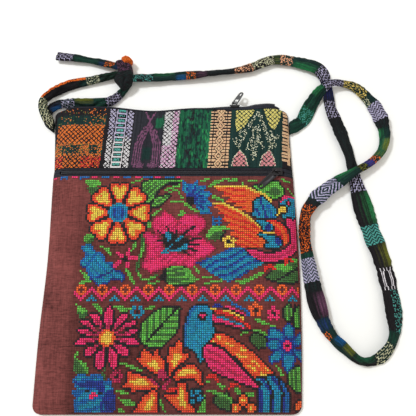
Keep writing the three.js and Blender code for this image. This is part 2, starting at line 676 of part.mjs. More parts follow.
// Pull: an eye round the bridge, then a tapering plate with a round tip, a recess and a slot
function pull(length, slotted) {
  const head = EYE_HALF_WIDTH + EYE_WALL;
  const tip = PULL_TIP_HALF_WIDTH;
  const bevel = PULL_BEVEL;
  const shape = new THREE.Shape();
  shape.moveTo(-BAR_HALF + bevel, -head + bevel);
  shape.lineTo(EYE_LENGTH, -head + bevel);
  shape.lineTo(length - tip, -tip + bevel);
  shape.absarc(length - tip, 0, tip - bevel, -Math.PI / 2, Math.PI / 2);
  shape.lineTo(EYE_LENGTH, head - bevel);
  shape.lineTo(-BAR_HALF + bevel, head - bevel);
  const opening = (x0, x1, half) =>
    new THREE.Path([
      new THREE.Vector2(x0 - bevel, -half - bevel),
      new THREE.Vector2(x0 - bevel, half + bevel),
      new THREE.Vector2(x1 + bevel, half + bevel),
      new THREE.Vector2(x1 + bevel, -half - bevel),
    ]);
  shape.holes.push(opening(BAR_HALF, EYE_LENGTH, EYE_HALF_WIDTH));
  if (slotted) {
    const end = length - PULL_SLOT_MARGIN;
    shape.holes.push(opening(end - PULL_SLOT_LENGTH, end, PULL_SLOT_HALF_WIDTH));
  }
  const depth = PULL_THICKNESS - 2 * bevel;
  const bevelled = { bevelThickness: bevel, bevelSize: bevel, bevelSegments: 1 };
  const plate = new THREE.ExtrudeGeometry(shape, { depth, curveSegments: PULL_TIP_STEPS, ...bevelled });
  plate.translate(0, 0, -depth / 2);
  if (slotted) return geometryOf(solidOf(plate));
  const from = EYE_LENGTH + PULL_RECESS_MARGIN;
  const half = PULL_TIP_HALF_WIDTH - PULL_RECESS_MARGIN;
  const top = PULL_THICKNESS / 2;
  return cut(plate, block(from, length - tip, -half, half, top - PULL_RECESS_DEPTH, top + PULL_THICKNESS));
}

// Slider with its pull, which turns on the eye's bar
function sliderGroup(name, { length, yaw, rise, slotted, color }) {
  const group = new THREE.Group();
  const tab = metal(`${name}_pull`, pull(length, slotted), color);
  tab.position.z = PULL_AXIS;
  tab.rotation.set(0, -radians(rise), radians(yaw), "ZYX");
  group.add(metal(`${name}_slider`, slider(), BLACK_ENAMEL), tab);
  return group;
}

function pocketSlider() {
  const z = frontHeight(POCKET_SLIDER_X, POCKET_ZIP_Y);
  const tail = frontHeight(POCKET_SLIDER_X - SLIDER_HALF_LENGTH, POCKET_ZIP_Y);
  const group = sliderGroup("pocket_zip", POCKET_PULL);
  group.position.set(POCKET_SLIDER_X, POCKET_ZIP_Y, z);
  group.rotation.y = Math.atan2(tail - z, SLIDER_HALF_LENGTH);
  return group;
}

function mouthSlider() {
  const zip = mouthZip(MOUTH_SLIDER_X);
  const centre = zip.at(0, 0);
  const facing = zip.at(0, 1).sub(centre);
  const group = sliderGroup("top_zip", MOUTH_PULL);
  group.position.set(MOUTH_SLIDER_X, centre.x, centre.y);
  group.rotation.x = Math.atan2(facing.y, facing.x) - Math.PI / 2;
  return group;
}

// Flat section of strap cloth, thicker where it is bunched
function strapOutline(width) {
  const thickness = Math.min(STRAP_MAX_THICKNESS, (STRAP_WIDTH * STRAP_THICKNESS) / width);
  const power = (value) => Math.sign(value) * Math.abs(value) ** STRAP_SQUARENESS;
  const outline = [];
  for (let k = 0; k < STRAP_SIDES; k++) {
    const turn = (2 * Math.PI * (k + 0.5)) / STRAP_SIDES;
    const corner = new THREE.Vector2(power(Math.cos(turn)) * width, power(Math.sin(turn)) * thickness);
    outline.push(corner.multiplyScalar(0.5));
  }
  return outline;
}

// Strap cloth along a route: each section leans as its rows say and stands on the surface,
// and a sewn end starts square to its seam
function strapAlong(route, steps, seamWay) {
  const flat = new THREE.CatmullRomCurve3(route.map((p) => new THREE.Vector3(p.x, p.y, 0)));
  const rows = route.map((p, i) => ({ ...p, at: i / (route.length - 1) }));
  const rings = [];
  for (let i = 0; i <= steps; i++) {
    const t = flat.getUtoTmapping(i / steps);
    const way = i === 0 && seamWay ? seamWay : flat.getTangent(t);
    const lean = radians(between(rows, "at", t, "lean"));
    const left = new THREE.Vector3(-way.y, way.x, 0);
    const flatWay = left.clone().multiplyScalar(Math.cos(lean)).addScaledVector(UPWARDS, Math.sin(lean));
    const thickWay = UPWARDS.clone().multiplyScalar(Math.cos(lean)).addScaledVector(left, -Math.sin(lean));
    const outline = strapOutline(between(rows, "at", t, "width"));
    const ring = outline.map((p) => flatWay.clone().multiplyScalar(p.x).addScaledVector(thickWay, p.y));
    const lowest = Math.min(...ring.map((p) => p.z));
    const place = flat.getPoint(t).setZ(between(rows, "at", t, "lift") - lowest);
    rings.push(ring.map((p) => p.add(place)));
  }
  return loft(rings, strapOutline(STRAP_WIDTH));
}

// Knot: wraps of strap cloth drawn tight, grown by a margin where it clears a strap
function knot(margin) {
  const way = KNOT_TO.clone().sub(KNOT_FROM);
  const length = way.length();
  way.normalize();
  const acrossWay = new THREE.Vector2(-way.y, way.x);
  const outline = [];
  for (let k = 0; k < KNOT_SIDES; k++) {
    const turn = (2 * Math.PI * k) / KNOT_SIDES;
    outline.push(new THREE.Vector2(Math.cos(turn), Math.sin(turn)));
  }
  const rings = KNOT.map((row) => {
    const end = (2 * row.along - 1) * margin;
    const centre = KNOT_FROM.clone().addScaledVector(way, row.along * length + end);
    return outline.map((p) => {
      const place = centre.clone().addScaledVector(acrossWay, p.x * (row.half + margin));
      const rise = (0.5 + 0.5 * p.y) * row.height + p.y * margin;
      return new THREE.Vector3(place.x, place.y, KNOT_BASE + rise);
    });
  });
  return loft(rings, outline);
}

const bag = new THREE.Group();
bag.add(
  cloth("back_panel", backPanel(), MAROON),
  cloth("front_panel", frontPanel(), MAROON),
  cloth("front_band", frontBand(), BAND_GREEN),
  cloth("pocket_zip_tape_upper", pocketTape(1), ZIP_BLACK),
  cloth("pocket_zip_tape_lower", pocketTape(-1), ZIP_BLACK),
  nylon("pocket_zip_chain", pocketChain()),
  cloth("top_zip_tape_front", mouthTape(1), ZIP_BLACK),
  cloth("top_zip_tape_back", mouthTape(-1), ZIP_BLACK),
  nylon("top_zip_chain", mouthChain()),
  nylon("top_zip_coil_front", mouthCoil(1)),
  nylon("top_zip_coil_back", mouthCoil(-1)),
  pocketSlider(),
  mouthSlider(),
);

const clearance = knot(GAP);
const straps = new THREE.Group();
const tied = (name, ...along) => cloth(name, cut(strapAlong(...along), clearance), STRAP_GREEN);
straps.add(
  tied("strap", STRAP_ROUTE, STRAP_STEPS, RIGHTWARDS),
  tied("side_loop_upper", UPPER_LEG_ROUTE, LOOP_STEPS, LEFTWARDS),
  tied("side_loop_lower", LOWER_LEG_ROUTE, LOOP_STEPS, LEFTWARDS),
  tied("strap_tail", TAIL_ROUTE, TAIL_STEPS),
  cloth("strap_knot", knot(0), STRAP_GREEN),
);

// The bag without its straps is centred on the origin
const part = new THREE.Group();
part.add(bag, straps);
part.updateMatrixWorld(true);
const middle = new THREE.Box3().setFromObject(bag, true).getCenter(new THREE.Vector3());
part.position.set(-middle.x, -middle.y, 0);
part.updateMatrixWorld(true);

export default part;
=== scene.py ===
"""Looks of a flat woven crossbody bag: cloth, embroidery, brocade band, zips, strap and knot."""

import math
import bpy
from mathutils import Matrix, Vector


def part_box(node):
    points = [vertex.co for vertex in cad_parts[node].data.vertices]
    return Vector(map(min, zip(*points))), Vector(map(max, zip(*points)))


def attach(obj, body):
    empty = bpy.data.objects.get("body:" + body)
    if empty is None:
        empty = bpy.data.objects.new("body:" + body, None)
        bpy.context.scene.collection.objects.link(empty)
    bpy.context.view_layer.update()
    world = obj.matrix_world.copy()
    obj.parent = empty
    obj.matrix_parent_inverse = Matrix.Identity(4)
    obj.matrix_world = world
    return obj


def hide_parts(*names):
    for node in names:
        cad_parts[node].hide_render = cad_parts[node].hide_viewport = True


bl_info = {
    "name": "Woven Crossbody Bag",
    "version": (1, 0, 0),
    "blender": (4, 5, 0),
    "location": "3D View > Sidebar > Bag",
    "description": "Dresses a flat zip-top bag in woven cloth, stitches, zips and a knotted strap",
    "category": "Add Mesh",
}

import bpy
import numpy as np
from bpy.props import FloatProperty, FloatVectorProperty, IntProperty, PointerProperty
from mathutils import Vector

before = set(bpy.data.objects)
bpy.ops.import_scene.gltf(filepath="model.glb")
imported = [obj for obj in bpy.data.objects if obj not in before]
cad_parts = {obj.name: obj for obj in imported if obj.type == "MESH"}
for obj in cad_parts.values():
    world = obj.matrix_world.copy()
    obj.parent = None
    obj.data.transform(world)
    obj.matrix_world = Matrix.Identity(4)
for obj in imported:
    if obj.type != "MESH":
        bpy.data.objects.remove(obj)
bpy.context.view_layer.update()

# Bag body in metres, measured from the middle of the back panel
BAG_MIDDLE = np.array((-0.00027, -0.00802, 0.0))
BOTTOM_Y = -0.146
PANEL_TOP = 0.0708
BAND_BOTTOM = 0.0794
BAND_TOP = 0.1414
POCKET_ZIP_Y = (PANEL_TOP + BAND_BOTTOM) / 2
ZIP_SLOT = BAND_BOTTOM - PANEL_TOP
CLOTH = 0.0015
GAP = 0.0003
INNER_FLOOR = CLOTH + GAP
SEAM_TOP = INNER_FLOOR + 0.0006
BOTTOM_CORNER = 0.008
TOP_CORNER = 0.006
CROWN = 0.0085
SHOULDER = 0.018
SHOULDER_POWER = 2.2
MOUTH_DROP = 0.15
BACK_EDGE_LIFT = 0.0007
BACK_EDGE_REACH = 0.004
WAVE_HEIGHT = 0.00035
WAVE_ACROSS = 0.031
WAVE_ALONG = 0.043
ZIP_VALLEY = 0.0008
ZIP_VALLEY_REACH = 0.007

# Side seams from the bottom to the mouth: y, left, right
OUTLINE = (
    (-0.146, -0.1174, 0.1178),
    (-0.080, -0.1169, 0.1208),
    (-0.010, -0.1144, 0.1216),
    (0.070, -0.1154, 0.1194),
    (0.080, -0.1149, 0.1188),
    (0.142, -0.1188, 0.1166),
)

# Rise and dip of the mouth's edge: x, rise
MOUTH_EDGE = (
    (-0.119, 0.0010),
    (-0.066, 0.0018),
    (-0.020, -0.0026),
    (0.020, 0.0002),
    (0.050, 0.0),
    (0.074, 0.0),
    (0.104, 0.0022),
    (0.117, 0.0022),
)

# Mouth zip: x, reach past the edge, tilt in degrees, lift, how far open, flap
MOUTH_ZIP = (
    (-0.112, 0.0028, 0, 0.0, 0, 0.0030),
    (0.020, 0.0028, 0, 0.0, 0, 0.0030),
    (0.054, 0.0049, 30, 0.0018, 0, 0.0030),
    (0.070, 0.0049, 30, 0.0018, 0, 0.0030),
    (0.084, 0.0042, 20, 0.0005, 1, 0.0032),
    (0.102, 0.0034, 10, 0.0, 1, 0.0032),
    (0.110, 0.0024, 0, 0.0, 1, 0.0016),
)
TAPE = 0.0009
TAPE_INSET = 0.0005
TAPE_EDGE = 0.0023
TAPE_LEVEL = -TAPE_INSET - TAPE / 2
TAPE_SEAT = TAPE / 2
TAPE_MOUTH_MARGIN = 0.0012
TAPE_BEND_MARGIN = 0.0001
FRONT_FLANGE = 0.0018
BACK_FLANGE = 0.003
COIL_RADIUS = 0.00095
COIL_SEAM = 0.0004
TAPE_CLOSING = (0.0, 0.0018)

# Closed chains: how deep they sit, half their coils' spacing, and half sizes of each coil and its cord
CHAIN_SINK = 0.0006
CHAIN_HALF_SPACING = 0.0009
CHAIN_COIL = (0.0008, 0.00055)
CHAIN_CORD = (0.0007, 0.0004)

# Metal of the sliders and pulls, and the oblong hole of the pocket's pull
ENAMEL_GAIN = 1.2
GUNMETAL = (0.11, 0.112, 0.118)
BARE_METAL = (0.42, 0.42, 0.43)
WELD_DISTANCE = 1e-6
HOLE_LENGTH = 0.0036
HOLE_WIDTH = 0.0028
HOLE_FROM_TIP = 0.0033
HOLE_REACH = 0.002
SHARP_EDGE = math.radians(30)

# Strap cloth
STRAP_WIDTH = 0.018
STRAP_THICKNESS = 0.0025
STRAP_MAX_THICKNESS = 0.0046
STRAP_SQUARENESS = 0.6
STRAP_REST = 0.0003
STRAP_FEATHER = 0.0014
LEG_WIDTH = 0.015
SEAM_TURN = 0.012
MAP_MARGIN = 0.04

# Uneven edges of the strap: share of its width, waves, how far they drift and how fast, radians a metre
STRAP_RIPPLES = ((0.05, 190, 4, 47), (0.035, 560, 5, 131))

# Creases of the strap: waves across it, how far they drift and how fast, and their depth as a share
CREASES_ACROSS = 4.6
CREASE_DRIFTS = ((9, 31), (2, 220))
CREASE_DEPTH = 0.36

# Routes of the strap cloth: x, y, width, lean in degrees, and lift where it doesn't rest on the surface
STRAP_ROUTE = (
    (0.1178, 0.1240, 0.0125, 0, 0.0009),
    (0.1300, 0.1310, 0.0138, 24),
    (0.1400, 0.1480, 0.0160, 30),
    (0.1500, 0.1630, 0.0120, 30, 0.0025),
    (0.1610, 0.1715, 0.0070, 18, 0.0058),
    (0.1730, 0.1730, 0.0070, 30, 0.0025),
    (0.1860, 0.1700, 0.0085, 38),
    (0.1980, 0.1575, 0.0112, 38),
    (0.2080, 0.1400, 0.0150, 32),
    (0.2125, 0.1180, 0.0113, 40),
    (0.2090, 0.1015, 0.0105, 48),
    (0.1980, 0.0885, 0.0095, 50, 0.0010),
    (0.1785, 0.0760, 0.0080, 22, 0.0056),
    (0.1610, 0.0655, 0.0156, 31, 0.0012),
    (0.1440, 0.0530, 0.0175, 28),
    (0.1305, 0.0360, 0.0132, 40),
    (0.1275, 0.0180, 0.0125, 45),
    (0.1288, -0.0060, 0.0135, 40),
    (0.1365, -0.0530, 0.0160, 26),
    (0.1445, -0.0750, 0.0120, 46),
    (0.1580, -0.0900, 0.0113, 48),
    (0.1740, -0.1015, 0.0080, 50),
    (0.1900, -0.0975, 0.0156, 41),
    (0.2020, -0.0830, 0.0132, 41),
    (0.2055, -0.0610, 0.0175, 22),
    (0.1990, -0.0090, 0.0178, 14),
    (0.1915, 0.0180, 0.0180, 4),
    (0.1855, 0.0440, 0.0180, 0),
    (0.1795, 0.0730, 0.0110, 0),
    (0.1760, 0.0940, 0.0120, 22),
    (0.1685, 0.1210, 0.0150, 18),
    (0.1605, 0.1470, 0.0130, 16),
    (0.1585, 0.1700, 0.0091, 0),
    (0.1525, 0.1895, 0.0148, 14),
    (0.1310, 0.1985, 0.0145, 12),
    (0.1040, 0.2015, 0.0123, 16),
    (0.0780, 0.1915, 0.0108, 24),
    (0.0460, 0.1856, 0.0100, 62),
    (0.0230, 0.1838, 0.0112, 28),
    (-0.0140, 0.1805, 0.0110, 26, 0.0010),
    (-0.0460, 0.1780, 0.0090, 28, 0.0040),
)
UPPER_LEG_ROUTE = (
    (-0.1186, 0.1270, 0.0120, 0, 0.0040),
    (-0.1253, 0.1340, 0.0110, 22, 0.0048),
    (-0.1293, 0.1435, 0.0090, 42, 0.0056),
    (-0.1295, 0.1522, 0.0092, 50, 0.0042),
    (-0.1246, 0.1608, 0.0100, 48, 0.0012),
    (-0.1155, 0.1668, 0.0108, 48),
    (-0.1030, 0.1722, 0.0104, 52),
    (-0.0840, 0.1770, 0.0085, 56),
    (-0.0520, 0.1845, 0.0068, 44, 0.0030),
)
LOWER_LEG_ROUTE = (
    (-0.1186, 0.1250, 0.0110, 0),
    (-0.1250, 0.1320, 0.0095, 0),
    (-0.1250, 0.1430, 0.0085, 0),
    (-0.1165, 0.1502, 0.0088, 18),
    (-0.1020, 0.1512, 0.0100, 40),
    (-0.0780, 0.1509, 0.0106, 42),
    (-0.0660, 0.1524, 0.0100, 42),
    (-0.0560, 0.1590, 0.0082, 36),
    (-0.0462, 0.1720, 0.0075, 22, 0.0010),
)
TAIL_ROUTE = (
    (-0.0520, 0.1910, 0.0090, 30, 0.0030),
    (-0.0655, 0.1958, 0.0102, 32),
    (-0.0855, 0.2005, 0.0082, 34),
    (-0.1055, 0.2040, 0.0102, 26),
    (-0.1215, 0.2060, 0.0108, 18),
)

# Knot: two wraps and a folded tip, each with its height, ground, figure's dye and outline seen from above
KNOT_BASE = 0.0003
KNOT_WIDEST = math.radians(60)
KNOT_TOP = math.pi / 2 - 0.05
KNOT_ROUNDNESS = 0.6
KNOT_CREASE_DEPTH = 0.0014
KNOT_CREASE_WIDTH = 0.0009
KNOT_FIGURE_SHARE = 0.22
KNOT_CLOTH = (0.06, 0.05)
KNOT_MAP_SHARE = 0.9
KNOT_PADS = (
    (0.0152, "black", "deep", (
        (-0.0605, 0.1757), (-0.0565, 0.1830), (-0.0495, 0.1852), (-0.0420, 0.1869), (-0.0400, 0.1796),
        (-0.0417, 0.1705), (-0.0502, 0.1630),
    )),
    (0.0130, "black", "mauve", (
        (-0.0600, 0.1970), (-0.0566, 0.1988), (-0.0522, 0.1990), (-0.0469, 0.1950), (-0.0427, 0.1936),
        (-0.0409, 0.1858), (-0.0400, 0.1796), (-0.0492, 0.1767), (-0.0565, 0.1812), (-0.0571, 0.1892),
    )),
    (0.0132, "flame", "black", (
        (-0.0538, 0.2004), (-0.0492, 0.2032), (-0.0448, 0.2016), (-0.0412, 0.1976), (-0.0434, 0.1936),
        (-0.0470, 0.1934), (-0.0500, 0.1900), (-0.0522, 0.1944),
    )),
)
KNOT_CREASES = (
    ((-0.0590, 0.1945), (-0.0540, 0.1865)),
    ((-0.0545, 0.1965), (-0.0512, 0.1860)),
    ((-0.0460, 0.1915), (-0.0455, 0.1870)),
    ((-0.0590, 0.1765), (-0.0500, 0.1800), (-0.0410, 0.1850)),
    ((-0.0500, 0.1660), (-0.0470, 0.1760)),
)

# Embroidery chart: its unit in metres, its size in units, and how much painted shade darkens the ground
# among the stitches and low on the bag
CHART_UNIT = 0.00145
FIELD_LEFT = -0.0855
FIELD_COLUMNS = 142
FIELD_ROWS = 150
STRIP_STITCHES = 16
BORDER_MIDDLE = 66
FIELD_MARGIN = 0.6
FIELD_FADE = 0.004
SEWN_PAINTED_SHADE = 0.14
LOW_PAINTED_SHADE = 0.26

# One cross stitch: shape in shares of its pitch and rise, strands' lean and rise, and painted light: a
# painted shadow on the cloth between stitches, painted shade at the strands' ends and edges and low on the
# bag, and a painted highlight at their middles
STITCH_REACH = 0.64
STITCH_HALF_WIDTH = 0.23
STITCH_SLIP = 0.03
STITCH_TAPER = 0.4
STITCH_GAP_RISE = 0.12
STITCH_END_RISE = 0.14
STITCH_ROUNDNESS = 0.3
STRANDS = ((1, 0.4), (-1, 0.7))
STITCH_GAP_PAINTED_SHADOW = 0.08
STITCH_END_PAINTED_SHADE = 0.16
STITCH_MIDDLE_PAINTED_HIGHLIGHT = 1.95
STITCH_EDGE_PAINTED_SHADE = 0.22
STITCH_LOW_PAINTED_SHADE = 0.16
STITCH_BRIGHTEST = 0.92

# Band's cloth and brocade: the chart's unit and lean, dyed threads, and one float in shares of its pitch,
# with a painted highlight along its middle and painted shade at its edges
BAND_LEFT = -0.119
BAND_WIDTH = 0.238
BAND_UNIT = 0.0012
BAND_LEAN = 0.07
BAND_MIDDLE_ROW = 25
BAND_THREADS = 420
BAND_MARGIN = 0.7
FLOAT_HALF_LENGTH = 0.5
FLOAT_HALF_WIDTH = 0.36
FLOAT_RISE = 0.3
FLOAT_END_RISE = 0.25
FLOAT_EDGE_RISE = 0.45
FLOAT_MIDDLE_PAINTED_HIGHLIGHT = 1.45
FLOAT_EDGE_PAINTED_SHADE = 0.75

# Weave: grain across and along a thread, scales of its patches and slubs, and painted light at the
# crossings: a painted highlight on raised threads and painted shade in the hollows between them
GRAIN_ACROSS = 0.9
GRAIN_ALONG = 0.05
PATCH_SCALE = 22.0
SLUB_SCALES = (260.0, 700.0, 260.0)
CROSSING_PAINTED_LIGHT = 0.12

# Enamel: where its noise is rubbed through, how metallic it is whole and how much more so bare, roughness
RUBBED_FROM = 0.62
RUBBED_THROUGH = 0.74
ENAMEL_METALLIC = 0.35
BARE_MORE_METALLIC = 0.6
ENAMEL_ROUGHNESS = 0.25
ENAMEL_GRAIN = 0.25

# Stage
ROOM_COLOUR = (1.0, 0.965, 0.89, 1)
ROOM_STRENGTH = 0.80
WINDOW_PLACE = (-1.5, 1.05, 2.6)
WINDOW_SIZE = 0.45
WINDOW_POWER = 56.0
WINDOW_COLOUR = (0.93, 0.97, 1.0)
FLOOR_HALF = 3.0
FLOOR_DROP = 0.0003
FLOOR_COLOUR = (1.0, 1.0, 0.995)
CAMERA_LENS = 47.34
CAMERA_SENSOR = 36.0
CAMERA_NEAREST = 0.01
CAMERA_ELEVATION = math.radians(74)
CAMERA_REACH = 0.530
CAMERA_TARGET = (0.0361, 0.0418, 0.0)


def dye(label, description, red, green, blue):
    """A colour property from 8-bit values."""
    default = (red / 255, green / 255, blue / 255)
    return FloatVectorProperty(
        name=label, description=description, subtype="COLOR_GAMMA", size=3, min=0, max=1, default=default
    )


def length(label, description, default):
    """A length property in metres."""
    return FloatProperty(name=label, description=description, unit="LENGTH", precision=5, default=default)


class BagSizes(bpy.types.PropertyGroup):
    """Sizes of the bag's stitches, threads and teeth"""

    stitch: length("Stitch pitch", "Width of one cross stitch of the embroidery", 0.0019)
    stitch_rise: length("Stitch rise", "How far a stitch stands above the cloth", 0.0007)
    float_pitch: length("Brocade pitch", "Width of one raised float of the band", 0.0008)
    weave: length("Weave pitch", "Distance between neighbouring threads of the cloth", 0.0007)
    strap_cell: length("Strap cell", "Length of one woven cell along the strap", 0.0008)
    coil_pitch: length("Coil pitch", "Length of one tooth of the zips", 0.0013)
    coil_wire: length("Coil wire", "Thickness of the zips' coil wire", 0.0006)
    metal_bevel: length("Metal bevel", "Rounding of the sliders' and pulls' edges", 0.00015)
    seed: IntProperty(name="Seed", description="Start of the random draws", default=7)


class BagColours(bpy.types.PropertyGroup):
    """Dyes of the bag's cloth and threads"""

    maroon: dye("Maroon", "Plain ground cloth", 110, 58, 56)
    black: dye("Black", "Outlines and dark stripes", 30, 28, 32)
    ink: dye("Ink", "Zip tapes and coils", 40, 41, 48)
    pink: dye("Pink", "Bright pink thread", 234, 46, 102)
    rose: dye("Rose", "Dark pink thread", 172, 38, 76)
    red: dye("Red", "Red thread", 214, 42, 38)
    scarlet: dye("Scarlet", "Red-orange thread", 230, 66, 44)
    orange: dye("Orange", "Orange thread", 246, 92, 42)
    gold: dye("Gold", "Golden yellow thread", 238, 184, 70)
    leaf: dye("Leaf", "Light green thread", 90, 164, 66)
    moss: dye("Moss", "Dark green thread", 58, 96, 50)
    sky: dye("Sky", "Turquoise thread", 28, 128, 162)
    blue: dye("Blue", "Blue thread", 24, 94, 158)
    navy: dye("Navy", "Dark blue thread", 32, 48, 128)
    deep: dye("Deep green", "Dark ground of the band and strap", 24, 48, 46)
    green: dye("Green", "Tie-dyed green of the band and strap", 28, 88, 62)
    bright: dye("Bright green", "Brightest dyed green", 42, 132, 76)
    teal: dye("Teal", "Blue-green rungs and specks", 82, 164, 156)
    mauve: dye("Mauve", "Dyed mauve lines", 116, 72, 102)
    lilac: dye("Lilac", "Pale lilac brocade", 184, 178, 212)
    white: dye("White", "White brocade", 236, 230, 238)
    blush: dye("Blush", "Pale pink brocade", 216, 160, 196)
    flame: dye("Flame", "Orange brocade", 248, 114, 38)
    peach: dye("Peach", "Peach brocade", 252, 184, 144)
    yellow: dye("Yellow", "Yellow brocade", 244, 214, 116)
    coral: dye("Coral", "Coral pink brocade", 234, 140, 146)
    cream: dye("Cream", "Cream specks", 222, 222, 184)
    olive: dye("Olive", "Olive dyed patches", 118, 122, 40)


def sizes():
    return bpy.context.scene.bag_sizes


def thread(name):
    """Linear colour of a named dye."""
    shown = np.array(getattr(bpy.context.scene.bag_colours, name)[:])
    return np.where(shown <= 0.04045, shown / 12.92, ((shown + 0.055) / 1.055) ** 2.4)


def threads(names):
    """Linear colours of many named dyes."""
    known = {name: thread(name) for name in set(names)}
    return np.array([known[name] for name in names])


def shades(draw, low, spread, shape):
    """Random shades of uneven dye."""
    return low + spread * draw.random(shape)


# Curves and surfaces


def smooth_curve(rows, column):
    """Smooth function through one column of a table, over its first column."""
    table = np.asarray(rows, float)
    keys, values = table[:, 0], table[:, column]
    slopes = np.gradient(values, keys)
    slopes[1:-1] = (values[2:] - values[:-2]) / (keys[2:] - keys[:-2])

    def at(where):
        place = np.clip(where, keys[0], keys[-1])
        i = np.clip(np.searchsorted(keys, place, side="right") - 1, 0, len(keys) - 2)
        span = keys[i + 1] - keys[i]
        t = (place - keys[i]) / span
        bend = span * (t * (1 - t) ** 2 * slopes[i] - t * t * (1 - t) * slopes[i + 1])
        return values[i] + (values[i + 1] - values[i]) * t * t * (3 - 2 * t) + bend

    return at


left_seam = smooth_curve(OUTLINE, 1)
right_seam = smooth_curve(OUTLINE, 2)
mouth_rise = smooth_curve(MOUTH_EDGE, 1)
zip_reach, zip_tilt, zip_lift, zip_open, zip_flap = (smooth_curve(MOUTH_ZIP, k) for k in range(1, 6))


def corner_inset(y):
    """How far the outline turns in at its round corners."""
    low = np.clip(BOTTOM_CORNER - (y - BOTTOM_Y), 0, BOTTOM_CORNER)
    high = np.clip(TOP_CORNER - (BAND_TOP - y), 0, TOP_CORNER)
    inset = BOTTOM_CORNER - np.sqrt(BOTTOM_CORNER**2 - low**2)
    return inset + TOP_CORNER - np.sqrt(TOP_CORNER**2 - high**2)


def left_edge(y):
    """Left outline of the cloth."""
    return left_seam(y) + corner_inset(y)


def right_edge(y):
    """Right outline of the cloth."""
    return right_seam(y) - corner_inset(y)


def rounded(t):
    """Rise of the cloth from a seam, at a share of the shoulder."""
    return 1 - (1 - np.clip(t, 0, 1)) ** SHOULDER_POWER


def front_height(x, y):
    """Outer face of the slack front cloth."""
    sides = rounded((x - left_edge(y)) / SHOULDER) * rounded((right_edge(y) - x) / SHOULDER)
    bottom = rounded((y - BOTTOM_Y) / SHOULDER)
    up = np.clip((y - BAND_BOTTOM) / (BAND_TOP - BAND_BOTTOM), 0, 1)
    mouth = 1 - MOUTH_DROP * up * up * (3 - 2 * up)
    valley = ZIP_VALLEY * np.exp(-(((y - POCKET_ZIP_Y) / ZIP_VALLEY_REACH) ** 2))
    wave = WAVE_HEIGHT * np.sin(x / WAVE_ACROSS + y / WAVE_ALONG) * np.cos(y / WAVE_ACROSS)
    return SEAM_TOP + (CROWN + wave - valley) * sides * bottom * mouth


def closer_at_ends(t, crowding=0.6):
    """Steps from 0 to 1 that lie closer together near both ends."""
    return (1 - crowding) * t + crowding * (0.5 - 0.5 * np.cos(np.pi * t))


def across(u, y):
    """Place across the bag at a share of its width."""
    return left_edge(y) + (right_edge(y) - left_edge(y)) * closer_at_ends(u)


def unit(ways):
    """Ways of length 1."""
    return ways / np.linalg.norm(ways, axis=-1, keepdims=True)


def quarter_turn(ways):
    """Ways in a plane, turned to their left."""
    return np.stack([-ways[..., 1], ways[..., 0]], -1)


def in_space(ways):
    """Ways given as (y, z), as (x, y, z)."""
    return np.column_stack([np.zeros(len(ways)), ways])


def run_along(steps):
    """Length from the start to each end of a row of steps."""
    return np.concatenate([[0], np.cumsum(steps)])


# Meshes


def linked(name, data):
    """A new object in the scene."""
    shape = bpy.data.objects.new(name, data)
    bpy.context.scene.collection.objects.link(shape)
    return shape


def piece(name, points, faces, material, slot):
    """A smooth mesh in the bag's frame that rides on the bag."""
    mesh = bpy.data.meshes.new(name)
    mesh.from_pydata((np.asarray(points) + BAG_MIDDLE).tolist(), [], faces)
    mesh.materials.append(material)
    mesh.shade_smooth()
    shape = linked(name, mesh)
    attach(shape, "bag")
    return shape


def vertex_places(shape):
    """Where each point of a piece lies."""
    return np.array([vertex.co for vertex in shape.data.vertices])


def corner_points(shape):
    """The point at each corner of a piece's faces."""
    return np.array([loop.vertex_index for loop in shape.data.loops])


def add_map(shape, name, places):
    """A UV map with a place for each corner."""
    shape.data.uv_layers.new(name=name).data.foreach_set("uv", places.ravel())


def plan_map(shape):
    """A map seen straight from above, for pieces that lie flat."""
    places = vertex_places(shape)
    low = places.min(0)
    span = (places.max(0) - low)[:2].max()
    add_map(shape, "OFBake", (places[corner_points(shape), :2] - low[:2]) / span)


def paint(shape, colours, domain="POINT"):
    """Dyes of a piece, one for each point or corner."""
    opaque = np.ones((len(colours), 4))
    opaque[:, :3] = colours
    layer = shape.data.color_attributes.new("dye", "FLOAT_COLOR", domain)
    layer.data.foreach_set("color", opaque.ravel())


def unit_grid(columns, rows):
    """Shares from 0 to 1 across and up a grid."""
    return np.meshgrid(np.linspace(0, 1, columns + 1), np.linspace(0, 1, rows + 1))


def grid_faces(rows, columns, start=0):
    """Faces of a grid of points counted row by row."""
    index = start + np.arange((rows + 1) * (columns + 1)).reshape(rows + 1, columns + 1)
    corners = (index[:-1, :-1], index[:-1, 1:], index[1:, 1:], index[1:, :-1])
    return np.stack([c.ravel() for c in corners], 1)


def slab(top, bottom):
    """Points and faces of a closed cloth between two faces on the same grid."""
    rows, columns = top.shape[0] - 1, top.shape[1] - 1
    count = top.shape[0] * top.shape[1]
    index = np.arange(count).reshape(rows + 1, columns + 1)
    rim = np.concatenate([index[0, :-1], index[:-1, -1], index[-1, :0:-1], index[:0:-1, 0]])
    after = np.roll(rim, -1)
    sides = np.stack([rim, rim + count, after + count, after], 1)
    under = grid_faces(rows, columns, count)[:, ::-1]
    faces = np.concatenate([grid_faces(rows, columns), under, sides])
    return np.concatenate([top.reshape(-1, 3), bottom.reshape(-1, 3)]), faces.tolist()


def tube(rings):
    """Points and faces of a skin through rings of equal count, closed at both ends."""
    count, sides = rings.shape[:2]
    k = np.arange(sides)
    near = (np.arange(count - 1)[:, None] * sides + k).ravel()
    beside = (np.arange(count - 1)[:, None] * sides + np.roll(k, -1)).ravel()
    skin = np.stack([near, beside, beside + sides, near + sides], 1).tolist()
    caps = [k[::-1].tolist(), ((count - 1) * sides + k).tolist()]
    return rings.reshape(-1, 3), skin + caps


def joined(parts):
    """Points and faces of several skins as one."""
    points, faces = [], []
    for part_points, part_faces in parts:
        start = sum(len(p) for p in points)
        points.append(part_points)
        faces += [[k + start for k in face] for face in part_faces]
    return np.concatenate(points), faces


# Materials


